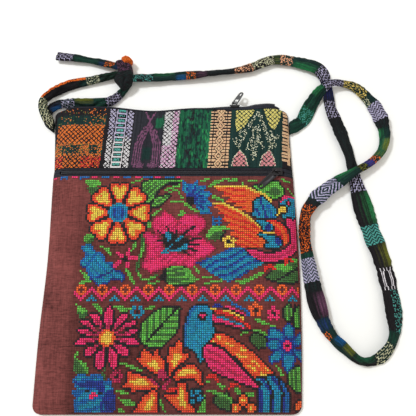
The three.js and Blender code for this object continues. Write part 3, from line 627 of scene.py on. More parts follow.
class Nodes:
    """Adds and joins the nodes of one tree."""

    def __init__(self, tree):
        self.tree = tree

    def add(self, kind, **settings):
        made = self.tree.nodes.new("ShaderNode" + kind)
        for key, value in settings.items():
            setattr(made, key, value)
        return made

    def set(self, socket, value):
        if isinstance(value, bpy.types.NodeSocket):
            self.tree.links.new(value, socket)
        else:
            socket.default_value = value

    def maths(self, operation, *values):
        made = self.add("Math", operation=operation)
        for socket, value in zip(made.inputs, values):
            self.set(socket, value)
        return made.outputs[0]

    def noise(self, vector, scale, detail=2.0):
        made = self.add("TexNoise")
        self.set(made.inputs["Vector"], vector)
        made.inputs["Scale"].default_value = scale
        made.inputs["Detail"].default_value = detail
        return made.outputs["Fac"]

    def stretched(self, vector, x, y, z):
        made = self.add("VectorMath", operation="MULTIPLY")
        self.set(made.inputs[0], vector)
        made.inputs[1].default_value = (x, y, z)
        return made.outputs[0]

    def scaled(self, colour, value):
        """A colour made lighter or darker by a value."""
        made = self.add("VectorMath", operation="SCALE")
        self.set(made.inputs[0], colour)
        self.set(made.inputs["Scale"], value)
        return made.outputs[0]


def new_group(name, inputs, outputs):
    """An empty node group with named sockets."""
    tree = bpy.data.node_groups.new(name, "ShaderNodeTree")
    for label, kind in inputs:
        tree.interface.new_socket(label, in_out="INPUT", socket_type="NodeSocket" + kind)
    for label, kind in outputs:
        tree.interface.new_socket(label, in_out="OUTPUT", socket_type="NodeSocket" + kind)
    nodes = Nodes(tree)
    start = tree.nodes.new("NodeGroupInput")
    end = tree.nodes.new("NodeGroupOutput")
    return tree, nodes, start.outputs, end.inputs


def weave_group(name):
    """Plain weave: the threads' height, and the uneven shade of hand-spun yarn with a painted highlight on
    raised threads and painted shade between them.
    """
    inputs = (("Vector", "Vector"), ("Threads per metre", "Float"), ("Unevenness", "Float"))
    outputs = (("Height", "Float"), ("Shade", "Float"))
    tree, nodes, start, end = new_group(name, inputs, outputs)
    counted = nodes.scaled(start["Vector"], start["Threads per metre"])
    axes = nodes.add("SeparateXYZ")
    nodes.set(axes.inputs[0], counted)
    warp = nodes.maths("SINE", nodes.maths("MULTIPLY", axes.outputs["X"], math.pi))
    weft = nodes.maths("SINE", nodes.maths("MULTIPLY", axes.outputs["Y"], math.pi))
    crossing = nodes.maths("MULTIPLY", warp, weft)
    nodes.set(end["Height"], nodes.maths("MULTIPLY_ADD", crossing, 0.5, 0.5))
    along = nodes.noise(nodes.stretched(counted, GRAIN_ACROSS, GRAIN_ALONG, GRAIN_ALONG), 1.0)
    over = nodes.noise(nodes.stretched(counted, GRAIN_ALONG, GRAIN_ACROSS, GRAIN_ALONG), 1.0)
    broad = nodes.noise(start["Vector"], PATCH_SCALE)
    slubs = nodes.noise(nodes.stretched(start["Vector"], *SLUB_SCALES), 1.0)
    spun = nodes.maths("ADD", nodes.maths("ADD", along, over), nodes.maths("ADD", broad, slubs))
    uneven = nodes.maths("MULTIPLY", nodes.maths("SUBTRACT", spun, 2.0), start["Unevenness"])
    # Colour follows the threads' height: painted highlight where they rise, painted shade where they sink
    shade = nodes.maths("MULTIPLY_ADD", crossing, CROSSING_PAINTED_LIGHT, uneven)
    nodes.set(end["Shade"], nodes.maths("ADD", shade, 1.0))
    return tree


def yarn_group(name):
    """Uneven dye of stitched yarn."""
    inputs = (("Vector", "Vector"), ("Amount", "Float"))
    tree, nodes, start, end = new_group(name, inputs, (("Shade", "Float"),))
    fine = nodes.noise(start["Vector"], 900.0, 1.0)
    broad = nodes.noise(start["Vector"], 60.0, 1.0)
    both = nodes.maths("SUBTRACT", nodes.maths("ADD", fine, broad), 1.0)
    nodes.set(end["Shade"], nodes.maths("MULTIPLY_ADD", both, start["Amount"], 1.0))
    return tree


def wear_group(name):
    """Mask of rubbed patches on enamel, and its grain."""
    inputs = (("Vector", "Vector"), ("Amount", "Float"))
    tree, nodes, start, end = new_group(name, inputs, (("Mask", "Float"), ("Grain", "Float")))
    patches = nodes.noise(start["Vector"], 260.0)
    sharp = nodes.add("MapRange")
    nodes.set(sharp.inputs["Value"], nodes.maths("ADD", patches, start["Amount"]))
    sharp.inputs["From Min"].default_value = RUBBED_FROM
    sharp.inputs["From Max"].default_value = RUBBED_THROUGH
    nodes.set(end["Mask"], sharp.outputs[0])
    nodes.set(end["Grain"], nodes.noise(start["Vector"], 2600.0))
    return tree


GROUPS = {"Plain weave": weave_group, "Yarn dye": yarn_group, "Rubbed enamel": wear_group}


def new_material(name, roughness, sheen=0.0, specular=0.3):
    """A material with its shader, and its nodes ready to add to."""
    known = bpy.data.materials.get(name)
    if known:
        bpy.data.materials.remove(known)
    material = bpy.data.materials.new(name)
    material.use_nodes = True
    shader = material.node_tree.nodes["Principled BSDF"]
    shader.inputs["Roughness"].default_value = roughness
    shader.inputs["Specular IOR Level"].default_value = specular
    shader.inputs["Sheen Weight"].default_value = sheen
    return material, Nodes(material.node_tree), shader.inputs


def place_group(nodes, name, vector, **values):
    """Outputs of a shared group, which is made when it is first used."""
    made = nodes.add("Group", node_tree=bpy.data.node_groups.get(name) or GROUPS[name](name))
    nodes.set(made.inputs["Vector"], vector)
    for label, value in values.items():
        made.inputs[label.replace("_", " ")].default_value = value
    return made.outputs


def object_places(nodes):
    """Places on a piece in its own frame."""
    return nodes.add("TexCoord").outputs["Object"]


def dye_source(nodes, colour):
    """One named dye, or the piece's own dyes where colour is None."""
    if colour is None:
        return nodes.add("VertexColor", layer_name="dye").outputs["Color"]
    plain = nodes.add("CombineXYZ")
    for socket, value in zip(plain.inputs, thread(colour)):
        socket.default_value = value
    return plain.outputs[0]


def bump(nodes, shader, height, depth):
    """Relief of a height in the shader's normal."""
    made = nodes.add("Bump")
    nodes.set(made.inputs["Height"], height)
    made.inputs["Distance"].default_value = depth
    made.inputs["Strength"].default_value = 1.0
    nodes.set(shader["Normal"], made.outputs[0])


def woven(name, colour, uneven, depth=0.0002, own_map=None):
    """Woven cloth, with its threads along the piece's own map where it has one."""
    material, nodes, shader = new_material(name, 0.92, specular=0.15)
    vector = nodes.add("UVMap", uv_map=own_map).outputs["UV"] if own_map else object_places(nodes)
    per_metre = 1 / sizes().weave
    cloth = place_group(nodes, "Plain weave", vector, Threads_per_metre=per_metre, Unevenness=uneven)
    nodes.set(shader["Base Color"], nodes.scaled(dye_source(nodes, colour), cloth["Shade"]))
    bump(nodes, shader, cloth["Height"], depth)
    return material


def yarn(name, colour=None, amount=0.45, roughness=0.7, sheen=0.06, specular=0.25):
    """Stitched yarn or zip nylon."""
    material, nodes, shader = new_material(name, roughness, sheen, specular)
    shade = place_group(nodes, "Yarn dye", object_places(nodes), Amount=amount)["Shade"]
    nodes.set(shader["Base Color"], nodes.scaled(dye_source(nodes, colour), shade))
    return material


def enamel(name, paint_colour, bare_colour, worn):
    """Dark enamelled metal, rubbed bright in patches."""
    material, nodes, shader = new_material(name, 0.35, specular=0.5)
    rubbed = place_group(nodes, "Rubbed enamel", object_places(nodes), Amount=worn)
    mix = nodes.add("Mix", data_type="RGBA")
    nodes.set(mix.inputs["Factor"], rubbed["Mask"])
    mix.inputs["A"].default_value = (*paint_colour, 1)
    mix.inputs["B"].default_value = (*bare_colour, 1)
    nodes.set(shader["Base Color"], mix.outputs["Result"])
    metallic = nodes.maths("MULTIPLY_ADD", rubbed["Mask"], BARE_MORE_METALLIC, ENAMEL_METALLIC)
    nodes.set(shader["Metallic"], metallic)
    roughness = nodes.maths("MULTIPLY_ADD", rubbed["Grain"], ENAMEL_GRAIN, ENAMEL_ROUGHNESS)
    nodes.set(shader["Roughness"], roughness)
    return material


# Strap


def route_samples(route, per_stretch=60):
    """Points close together on the curve through a route, with each one's share along its rows."""
    points = np.array([row[:2] for row in route])
    before, after = 2 * points[0] - points[1], 2 * points[-1] - points[-2]
    padded = np.vstack([before, points, after])
    places, shares = [], []
    weights = np.linspace(0, 1, per_stretch, endpoint=False)
    for k in range(len(points) - 1):
        p0, p1, p2, p3 = padded[k : k + 4]
        d0, d1, d2 = (math.sqrt(np.linalg.norm(b - a)) for a, b in ((p0, p1), (p1, p2), (p2, p3)))
        t1 = ((p1 - p0) / d0 - (p2 - p0) / (d0 + d1) + (p2 - p1) / d1) * d1
        t2 = ((p2 - p1) / d1 - (p3 - p1) / (d1 + d2) + (p3 - p2) / d2) * d1
        w = weights[:, None]
        cubic = 2 * p1 - 2 * p2 + t1 + t2
        square = 3 * p2 - 3 * p1 - 2 * t1 - t2
        places.append(p1 + t1 * w + square * w**2 + cubic * w**3)
        shares.append((k + weights) / (len(points) - 1))
    places.append(points[-1:])
    shares.append([1.0])
    return np.vstack(places), np.concatenate(shares)


def strap_section(sides, fineness=60):
    """Points evenly spaced round the strap's flat section, each way from -1 to 1."""
    turn = np.linspace(0, 2 * np.pi, fineness * sides)
    flat = np.sign(np.cos(turn)) * np.abs(np.cos(turn)) ** STRAP_SQUARENESS
    tall = np.sign(np.sin(turn)) * np.abs(np.sin(turn)) ** STRAP_SQUARENESS
    steps = np.hypot(np.diff(flat) * STRAP_WIDTH, np.diff(tall) * STRAP_THICKNESS)
    run = run_along(steps) / steps.sum()
    even = (np.arange(sides) + 0.5) / sides
    return np.interp(even, run, flat), np.interp(even, run, tall)


def strap_rings(route, cell, sides, seam_way):
    """Sections of strap cloth along a route, their middles, and the length along it."""
    places, shares = route_samples(route)
    run = run_along(np.linalg.norm(np.diff(places, axis=0), axis=1))
    count = max(2, round(run[-1] / cell))
    along = np.linspace(0, run[-1], count + 1)
    share = np.interp(along, run, shares)
    middle = np.stack([np.interp(along, run, places[:, k]) for k in (0, 1)], 1)
    way = unit(np.gradient(middle, axis=0))
    if seam_way:
        blend = np.clip(1 - along / SEAM_TURN, 0, 1)[:, None]
        way = unit(way * (1 - blend) + np.array([seam_way, 0.0]) * blend)
    table = [(k / (len(route) - 1), *row, STRAP_REST)[:6] for k, row in enumerate(route)]
    width, lean, lift = (smooth_curve(table, k)(share) for k in (3, 4, 5))
    lean = np.radians(lean)
    thick = np.minimum(STRAP_MAX_THICKNESS, STRAP_WIDTH * STRAP_THICKNESS / width)
    flat, tall = strap_section(sides)
    ripples = (
        size * np.sin(rate * along + drift * np.sin(slow * along))
        for size, rate, drift, slow in STRAP_RIPPLES
    )
    width = width * sum(ripples, 1)
    drifts = (turn * np.sin(rate * along[:, None]) for turn, rate in CREASE_DRIFTS)
    crease = np.cos(sum(drifts, CREASES_ACROSS * flat[None, :]))
    fold = 1 - CREASE_DEPTH * crease * (1 - flat**2)
    a = flat[None, :] * width[:, None] / 2
    b = tall[None, :] * thick[:, None] / 2 * fold
    left = quarter_turn(way)
    sideways = a * np.cos(lean)[:, None] - b * np.sin(lean)[:, None]
    upright = a * np.sin(lean)[:, None] + b * np.cos(lean)[:, None]
    rings = np.zeros((count + 1, sides, 3))
    rings[:, :, :2] = middle[:, None, :] + left[:, None, :] * sideways[:, :, None]
    level = lift - upright.min(1)
    rings[:, :, 2] = upright + level[:, None]
    centre = np.column_stack([middle, level])
    return rings, centre, along


# Woven figures of the strap: i counts cells along a stretch, j and w run across it from right to left


def figure_amount(kind, i, count, j, w, chance, tint):
    """How much of the figure's dye each cell of a stretch shows."""
    t = (2 * i + 1) / count - 1
    if kind == "zigzag":
        return (i + np.abs(j % 8 - 4)) % 4 < 1.6
    if kind == "frets":
        return ((j % 3 == 0) & ((i + j) % 7 < 5)) | (((i + j // 3 * 3) % 7 == 0) & (j % 6 < 4))
    if kind == "hexagons":
        return (np.abs(w) * 4 + np.abs(t) * 7) % 2 < 0.8
    if kind == "pinched":
        return np.abs(np.abs(np.abs(w) - 0.42) - 0.08 - 0.16 * t * t) < 0.055
    if kind == "specks":
        return chance < 0.26
    if kind == "right specks":
        return (w < 0.1) & (chance < 0.28)
    if kind == "left rim":
        return (w > 0.72) & (chance < 0.75)
    side = {"dyed left": w, "dyed right": -w, "dyed": 0.2 + 0 * w}[kind]
    return 0.8 * np.clip(0.1 + 0.9 * side + 0.8 * (tint - 0.5), 0, 1) * np.sqrt(1 - t * t)


# Stretches of the strap from the right seam: start, ground, figure's dye, figure
STRAP_STRETCHES = (
    (0.000, "deep", "green", "dyed"),
    (0.014, "green", "teal", "specks"),
    (0.030, "deep", "green", "dyed"),
    (0.044, "deep", "bright", "dyed left"),
    (0.058, "black", "lilac", "frets"),
    (0.080, "deep", "yellow", "specks"),
    (0.108, "deep", "cream", "right specks"),
    (0.118, "black", "lilac", "zigzag"),
    (0.137, "black", "deep", "dyed"),
    (0.146, "deep", "bright", "dyed right"),
    (0.158, "green", "olive", "dyed left"),
    (0.172, "green", "olive", "dyed"),
    (0.180, "deep", "flame", "specks"),
    (0.187, "navy", "mauve", "dyed"),
    (0.194, "black", "olive", "specks"),
    (0.204, "deep", "bright", "dyed right"),
    (0.228, "deep", "lilac", "hexagons"),
    (0.258, "black", "deep", "dyed"),
    (0.264, "black", "flame", "specks"),
    (0.312, "deep", "green", "dyed"),
    (0.318, "deep", "lilac", "zigzag"),
    (0.340, "black", "deep", "dyed"),
    (0.350, "black", "mauve", "dyed left"),
    (0.374, "deep", "navy", "dyed"),
    (0.386, "deep", "flame", "right specks"),
    (0.394, "deep", "blue", "dyed left"),
    (0.404, "deep", "olive", "dyed left"),
    (0.416, "black", "green", "dyed left"),
    (0.438, "deep", "cream", "frets"),
    (0.458, "deep", "green", "dyed"),
    (0.470, "black", "teal", "right specks"),
    (0.508, "black", "white", "pinched"),
    (0.529, "black", "olive", "dyed right"),
    (0.552, "deep", "teal", "zigzag"),
    (0.571, "black", "bright", "dyed right"),
    (0.606, "black", "lilac", "frets"),
    (0.626, "black", "deep", "dyed"),
    (0.686, "black", "lilac", "frets"),
    (0.705, "black", "navy", "dyed"),
    (0.728, "black", "lilac", "frets"),
    (0.744, "deep", "bright", "dyed left"),
    (0.772, "deep", "peach", "specks"),
    (0.786, "deep", "olive", "dyed"),
    (0.792, "black", "cream", "specks"),
    (0.816, "black", "peach", "specks"),
    (0.836, "black", "deep", "dyed"),
    (0.864, "black", "mauve", "dyed"),
    (0.876, "deep", "flame", "specks"),
    (0.886, "deep", "blue", "dyed left"),
    (0.897, "deep", "bright", "dyed right"),
    (0.920, "black", "teal", "specks"),
)
UPPER_LEG_STRETCHES = (
    (0.000, "black", "cream", "frets"),
    (0.010, "deep", "cream", "frets"),
    (0.030, "black", "flame", "left rim"),
    (0.070, "deep", "flame", "left rim"),
    (0.078, "deep", "cream", "specks"),
    (0.092, "black", "green", "dyed"),
)
LOWER_LEG_STRETCHES = (
    (0.000, "black", "deep", "dyed"),
    (0.022, "black", "blue", "dyed right"),
    (0.036, "deep", "lilac", "frets"),
    (0.050, "deep", "olive", "dyed left"),
    (0.070, "deep", "green", "dyed"),
    (0.082, "black", "lilac", "frets"),
    (0.098, "deep", "green", "dyed"),
)
TAIL_STRETCHES = (
    (0.000, "deep", "navy", "dyed"),
    (0.010, "deep", "flame", "specks"),
    (0.019, "deep", "navy", "dyed"),
    (0.026, "deep", "green", "dyed"),
    (0.054, "black", "lilac", "frets"),
)


def strap_dyes(stretches, along, sides, draw):
    """Dyes of a strap's faces, a row for each step along it, feathered thread by thread."""
    middle = (along[:-1] + along[1:]) / 2
    starts = np.array([row[0] for row in stretches])
    feather = draw.normal(0, STRAP_FEATHER, sides)

    def stretch_at(place):
        return np.clip(np.searchsorted(starts, place, side="right") - 1, 0, len(starts) - 1)

    grounds = np.array([thread(row[1]) for row in stretches])
    dyes = grounds[stretch_at(middle[:, None] + feather[None, :])]
    chance = draw.random((len(middle), sides))
    tint = draw.random(sides)[None, :]
    flat, _ = strap_section(sides)
    w = (flat + np.roll(flat, -1)) / 2
    j = np.floor((1 + w) * sides / 4).astype(int)
    which = stretch_at(middle)
    for k, (_, _, figure, kind) in enumerate(stretches):
        rows = np.flatnonzero(which == k)
        if len(rows):
            i = np.arange(len(rows))[:, None]
            amount = figure_amount(kind, i, len(rows), j[None, :], w[None, :], chance[rows], tint)
            dyes[rows] += (thread(figure) - dyes[rows]) * np.asarray(amount, float)[:, :, None]
    dyes *= shades(draw, 0.58, 0.4, sides)[None, :, None]
    return dyes * shades(draw, 0.7, 0.5, (len(middle), sides, 1))


def strap_maps(shape, along, rings, fold_steps=100):
    """The cloth's own map in metres, and a map folded into rows that fills a square."""
    steps, sides = len(along) - 1, rings.shape[1]
    girth = 2 * STRAP_WIDTH
    i, k = np.meshgrid(np.arange(steps), np.arange(sides), indexing="ij")
    rows_needed = math.ceil(steps / fold_steps)
    u = np.stack([i, i, i + 1, i + 1], -1)
    v = np.stack([k, k + 1, k + 1, k], -1)
    own = np.stack([u * along[1], v * girth / sides], -1)
    row = (i // fold_steps)[..., None]
    over = (u - row * fold_steps) / fold_steps
    up = (row + MAP_MARGIN + (1 - 2 * MAP_MARGIN) * v / sides) / rows_needed
    spare = len(shape.data.loops) - own.size // 2
    for name, corners in (("threads", own), ("OFBake", np.stack([over, up], -1))):
        add_map(shape, name, np.concatenate([corners.reshape(-1, 2), np.zeros((spare, 2))]))


def strap_piece(name, route, stretches, material, seam_way, draw, sides=40):
    """A dyed length of strap cloth, its middle line and its length."""
    rings, centre, along = strap_rings(route, sizes().strap_cell, sides, seam_way)
    points, faces = tube(rings)
    shape = piece(name, points, faces, material, "strap_cloth")
    dyes = np.repeat(strap_dyes(stretches, along, sides, draw).reshape(-1, 3), 4, axis=0)
    spare = len(shape.data.loops) - len(dyes)
    paint(shape, np.concatenate([dyes, np.repeat(dyes[-1:], spare, axis=0)]), "CORNER")
    strap_maps(shape, along, rings)
    return shape, centre + BAG_MIDDLE, along[-1]


class BAG_OT_strap(bpy.types.Operator):
    """Make the cloth strap, the side loop's legs, the free end and the knot"""

    bl_idname = "bag.strap"
    bl_label = "Strap and Knot"

    def execute(self, context):
        draw = np.random.default_rng(sizes().seed)
        cloth = woven("strap_cloth", None, uneven=0.6, depth=0.0003, own_map="threads")
        knot = make_knot(cloth, draw)
        tail, _, _ = strap_piece("strap_tail_cloth", TAIL_ROUTE, TAIL_STRETCHES, cloth, 0, draw)
        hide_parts("strap_tail")
        rows = (
            ("strap_cloth_band", "strap", STRAP_ROUTE, STRAP_STRETCHES, 1, STRAP_WIDTH, [knot, tail]),
            (
                "side_loop_upper_cloth", "side_loop_upper", UPPER_LEG_ROUTE, UPPER_LEG_STRETCHES,
                -1, LEG_WIDTH, [],
            ),
            (
                "side_loop_lower_cloth", "side_loop_lower", LOWER_LEG_ROUTE, LOWER_LEG_STRETCHES,
                -1, LEG_WIDTH, [],
            ),
        )
        for name, node, route, stretches, seam_way, width, others in rows:
            shape, path, run = strap_piece(name, route, stretches, cloth, seam_way, draw)
            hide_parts(node)
        return {"FINISHED"}


def round_outline(corners, sides, softness=3):
    """Evenly spaced points on a closed outline with softened corners."""
    ring = np.array(corners + corners[:1])
    steps = np.hypot(*np.diff(ring, axis=0).T)
    run = run_along(steps) / steps.sum()
    even = np.arange(sides) / sides
    line = np.stack([np.interp(even, run, ring[:, k]) for k in (0, 1)], 1)
    for _ in range(softness):
        line = (np.roll(line, 1, 0) + 2 * line + np.roll(line, -1, 0)) / 4
    return line


def make_knot(cloth, draw, rings=26, sides=72):
    """The knot: wraps of strap cloth drawn tight round the loop's end, with a folded tip."""
    angle = np.linspace(-KNOT_WIDEST, KNOT_TOP, rings)
    scale = np.cos(angle) ** KNOT_ROUNDNESS
    level = (np.sin(angle) + math.sin(KNOT_WIDEST)) / (1 + math.sin(KNOT_WIDEST))
    parts, dyes = [], []
    for height, ground, figure, corners in KNOT_PADS:
        outline = round_outline(corners, sides)
        middle = outline.mean(0)
        plan = middle + scale[:, None, None] * (outline - middle)
        z = KNOT_BASE + height * np.repeat(level[:, None], sides, axis=1)
        chart = Chart(plan[..., 0], plan[..., 1])
        for crease in KNOT_CREASES:
            dent = np.exp(-((chart.near(crease) / KNOT_CREASE_WIDTH) ** 2))
            z -= KNOT_CREASE_DEPTH * dent * level[:, None] ** 2
        parts.append(tube(np.dstack([plan, z])))
        chance = draw.random((rings, sides, 1))
        shade = np.where(chance < KNOT_FIGURE_SHARE, thread(figure), thread(ground))
        dyes.append((shade * shades(draw, 0.6, 0.5, (rings, sides, 1))).reshape(-1, 3))
    shape = piece("strap_knot_cloth", *joined(parts), cloth, "strap_cloth")
    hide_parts("strap_knot")
    paint(shape, np.concatenate(dyes))
    corners = corner_points(shape)
    pad, place = corners // (rings * sides), corners % (rings * sides)
    around = place % sides / sides
    up = (pad + KNOT_MAP_SHARE * (place // sides) / rings) / len(KNOT_PADS)
    for name, (wide, tall) in (("threads", KNOT_CLOTH), ("OFBake", (1, 1))):
        add_map(shape, name, np.stack([around * wide, up * tall], 1))
    return shape


# Cloth panels


def cloth_grid(y0, y1, columns, rows, follows_mouth):
    """Places across and up a panel, and where each shows up the bag."""
    u, v = unit_grid(columns, rows)
    y = y0 + (y1 - y0) * closer_at_ends(v)
    x = across(u, y)
    return x, y, y + v * v * mouth_rise(x) if follows_mouth else y


def front_cloth(name, y0, y1, material, slot, rows, columns, follows_mouth=False):
    """One panel of the slack front."""
    x, y, shown_y = cloth_grid(y0, y1, columns, rows, follows_mouth)
    top = front_height(x, y)
    bottom = np.maximum(top - CLOTH, INNER_FLOOR)
    points, faces = slab(np.stack([x, shown_y, top], -1), np.stack([x, shown_y, bottom], -1))
    shape = piece(name, points, faces, material, slot)
    plan_map(shape)
    return shape


class BAG_OT_panels(bpy.types.Operator):
    """Make the back, the front panel and the upper band as slack cloth"""

    bl_idname = "bag.panels"
    bl_label = "Cloth Panels"

    def execute(self, context):
        maroon = woven("maroon_cloth", "maroon", uneven=1.2)
        back = self.back(maroon)
        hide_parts("back_panel")
        sewn = woven("sewn_cloth", None, uneven=1.2)
        front = front_cloth(
            "front_panel_cloth", BOTTOM_Y, PANEL_TOP, sewn, "panel_cloth", rows=120, columns=130,
        )
        # The front's ground carries painted shade among the stitches and low on the bag
        paint(front, ground_dyes_with_painted_shade(front))
        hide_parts("front_panel")
        dyed = woven("band_cloth", None, uneven=0.45)
        band = front_cloth(
            "front_band_cloth", BAND_BOTTOM, BAND_TOP, dyed, "band_cloth", rows=78, columns=440,
            follows_mouth=True,
        )
        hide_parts("front_band")
        places = vertex_places(band) - BAG_MIDDLE
        paint(band, band_dyes(places[:, 0], places[:, 1]))
        return {"FINISHED"}

    def back(self, material, rows=60, columns=60):
        """The flat back, its edge lifted off the surface."""
        x, y, shown_y = cloth_grid(BOTTOM_Y, BAND_TOP, columns, rows, True)
        rim = np.minimum(np.minimum(x - left_edge(y), right_edge(y) - x), y - BOTTOM_Y)
        lift = BACK_EDGE_LIFT * np.maximum(0, 1 - rim / BACK_EDGE_REACH) ** 2
        top = np.stack([x, shown_y, np.full_like(x, CLOTH)], -1)
        points, faces = slab(top, np.stack([x, shown_y, lift], -1))
        shape = piece("back_panel_cloth", points, faces, material, "back_cloth")
        plan_map(shape)
        return shape


def ground_dyes_with_painted_shade(shape):
    """Maroon ground darkened by painted shade among the stitches, most of all low on the bag."""
    places = vertex_places(shape) - BAG_MIDDLE
    inside = np.clip((places[:, 0] - FIELD_LEFT) / FIELD_FADE + 1, 0, 1)
    low = (PANEL_TOP - places[:, 1]) / (PANEL_TOP - BOTTOM_Y)
    # Painted shade: darker inside the stitched field, and darker still towards the bottom
    return thread("maroon") * (1 - inside * (SEWN_PAINTED_SHADE + LOW_PAINTED_SHADE * low))[:, None]


# Drawing on counted cloth


class Chart:
    """Dyes at places counted in stitches, drawn with simple shapes, the later over the earlier."""

    def __init__(self, columns, rows):
        self.c = columns
        self.r = rows
        self.names = np.full(columns.shape, None, dtype=object)

    def drawn(self):
        """The places that have a dye."""
        return np.not_equal(self.names, None)

    def put(self, dye, mask, outline=None):
        if outline:
            self.names[self.grown(mask)] = outline
        self.names[mask] = dye

    def grown(self, mask):
        """A shape on a regular grid with one more stitch all round."""
        wide = mask.copy()
        wide[1:] |= mask[:-1]
        wide[:-1] |= mask[1:]
        wide[:, 1:] |= mask[:, :-1]
        wide[:, :-1] |= mask[:, 1:]
        return wide

    def rim(self, mask):
        """The outermost stitches of a shape."""
        return mask & self.grown(~mask)

    def within(self, c0, r0, c1, r1):
        """An upright box."""
        return (self.c > c0) & (self.c < c1) & (self.r > r0) & (self.r < r1)

    def inside(self, corners):
        """A shape with straight sides."""
        found = np.zeros(self.c.shape, bool)
        for (c0, r0), (c1, r1) in zip(corners, corners[1:] + corners[:1]):
            if r0 != r1:
                crossing = c0 + (self.r - r0) * (c1 - c0) / (r1 - r0)
                found ^= ((r0 > self.r) != (r1 > self.r)) & (self.c < crossing)
        return found

    def near(self, points):
        """Distance from a line through points."""
        nearest = np.full(self.c.shape, np.inf)
        for (c0, r0), (c1, r1) in zip(points, points[1:]):
            dc, dr = c1 - c0, r1 - r0
            t = np.clip(((self.c - c0) * dc + (self.r - r0) * dr) / (dc * dc + dr * dr), 0, 1)
            nearest = np.minimum(nearest, np.hypot(self.c - c0 - t * dc, self.r - r0 - t * dr))
        return nearest

    def area(self, dye, *corners, outline=None):
        mask = self.inside(corners)
        self.put(dye, mask, outline)
        return mask

    def inked(self, dye, *corners):
        """An area with a black outline."""
        return self.area(dye, *corners, outline="black")

    def line(self, dye, *points, width=1.4):
        self.put(dye, self.near(points) < width / 2)

    def disc(self, dye, c, r, radius, outline=None):
        self.put(dye, np.hypot(self.c - c, self.r - r) < radius, outline)

    def box(self, dye, *corners):
        self.put(dye, self.within(*corners))

    def stripes(self, dye, mask, slope, period, share, wave=0.0):
        """Recolours slanting stripes of a shape already drawn; slope is in rows for each column."""
        place = self.r - slope * self.c + wave * np.sin(self.c / 3)
        self.put(dye, mask & (place % period < share))

    def blossom(self, petal, core, c, r, reach, radius, count, turn=0.0):
        """Round petals about a core."""
        for k in range(count):
            angle = turn + 2 * math.pi * k / count
            self.disc(petal, c + reach * math.cos(angle), r + reach * math.sin(angle), radius)
        self.disc(core, c, r, radius * 0.8)


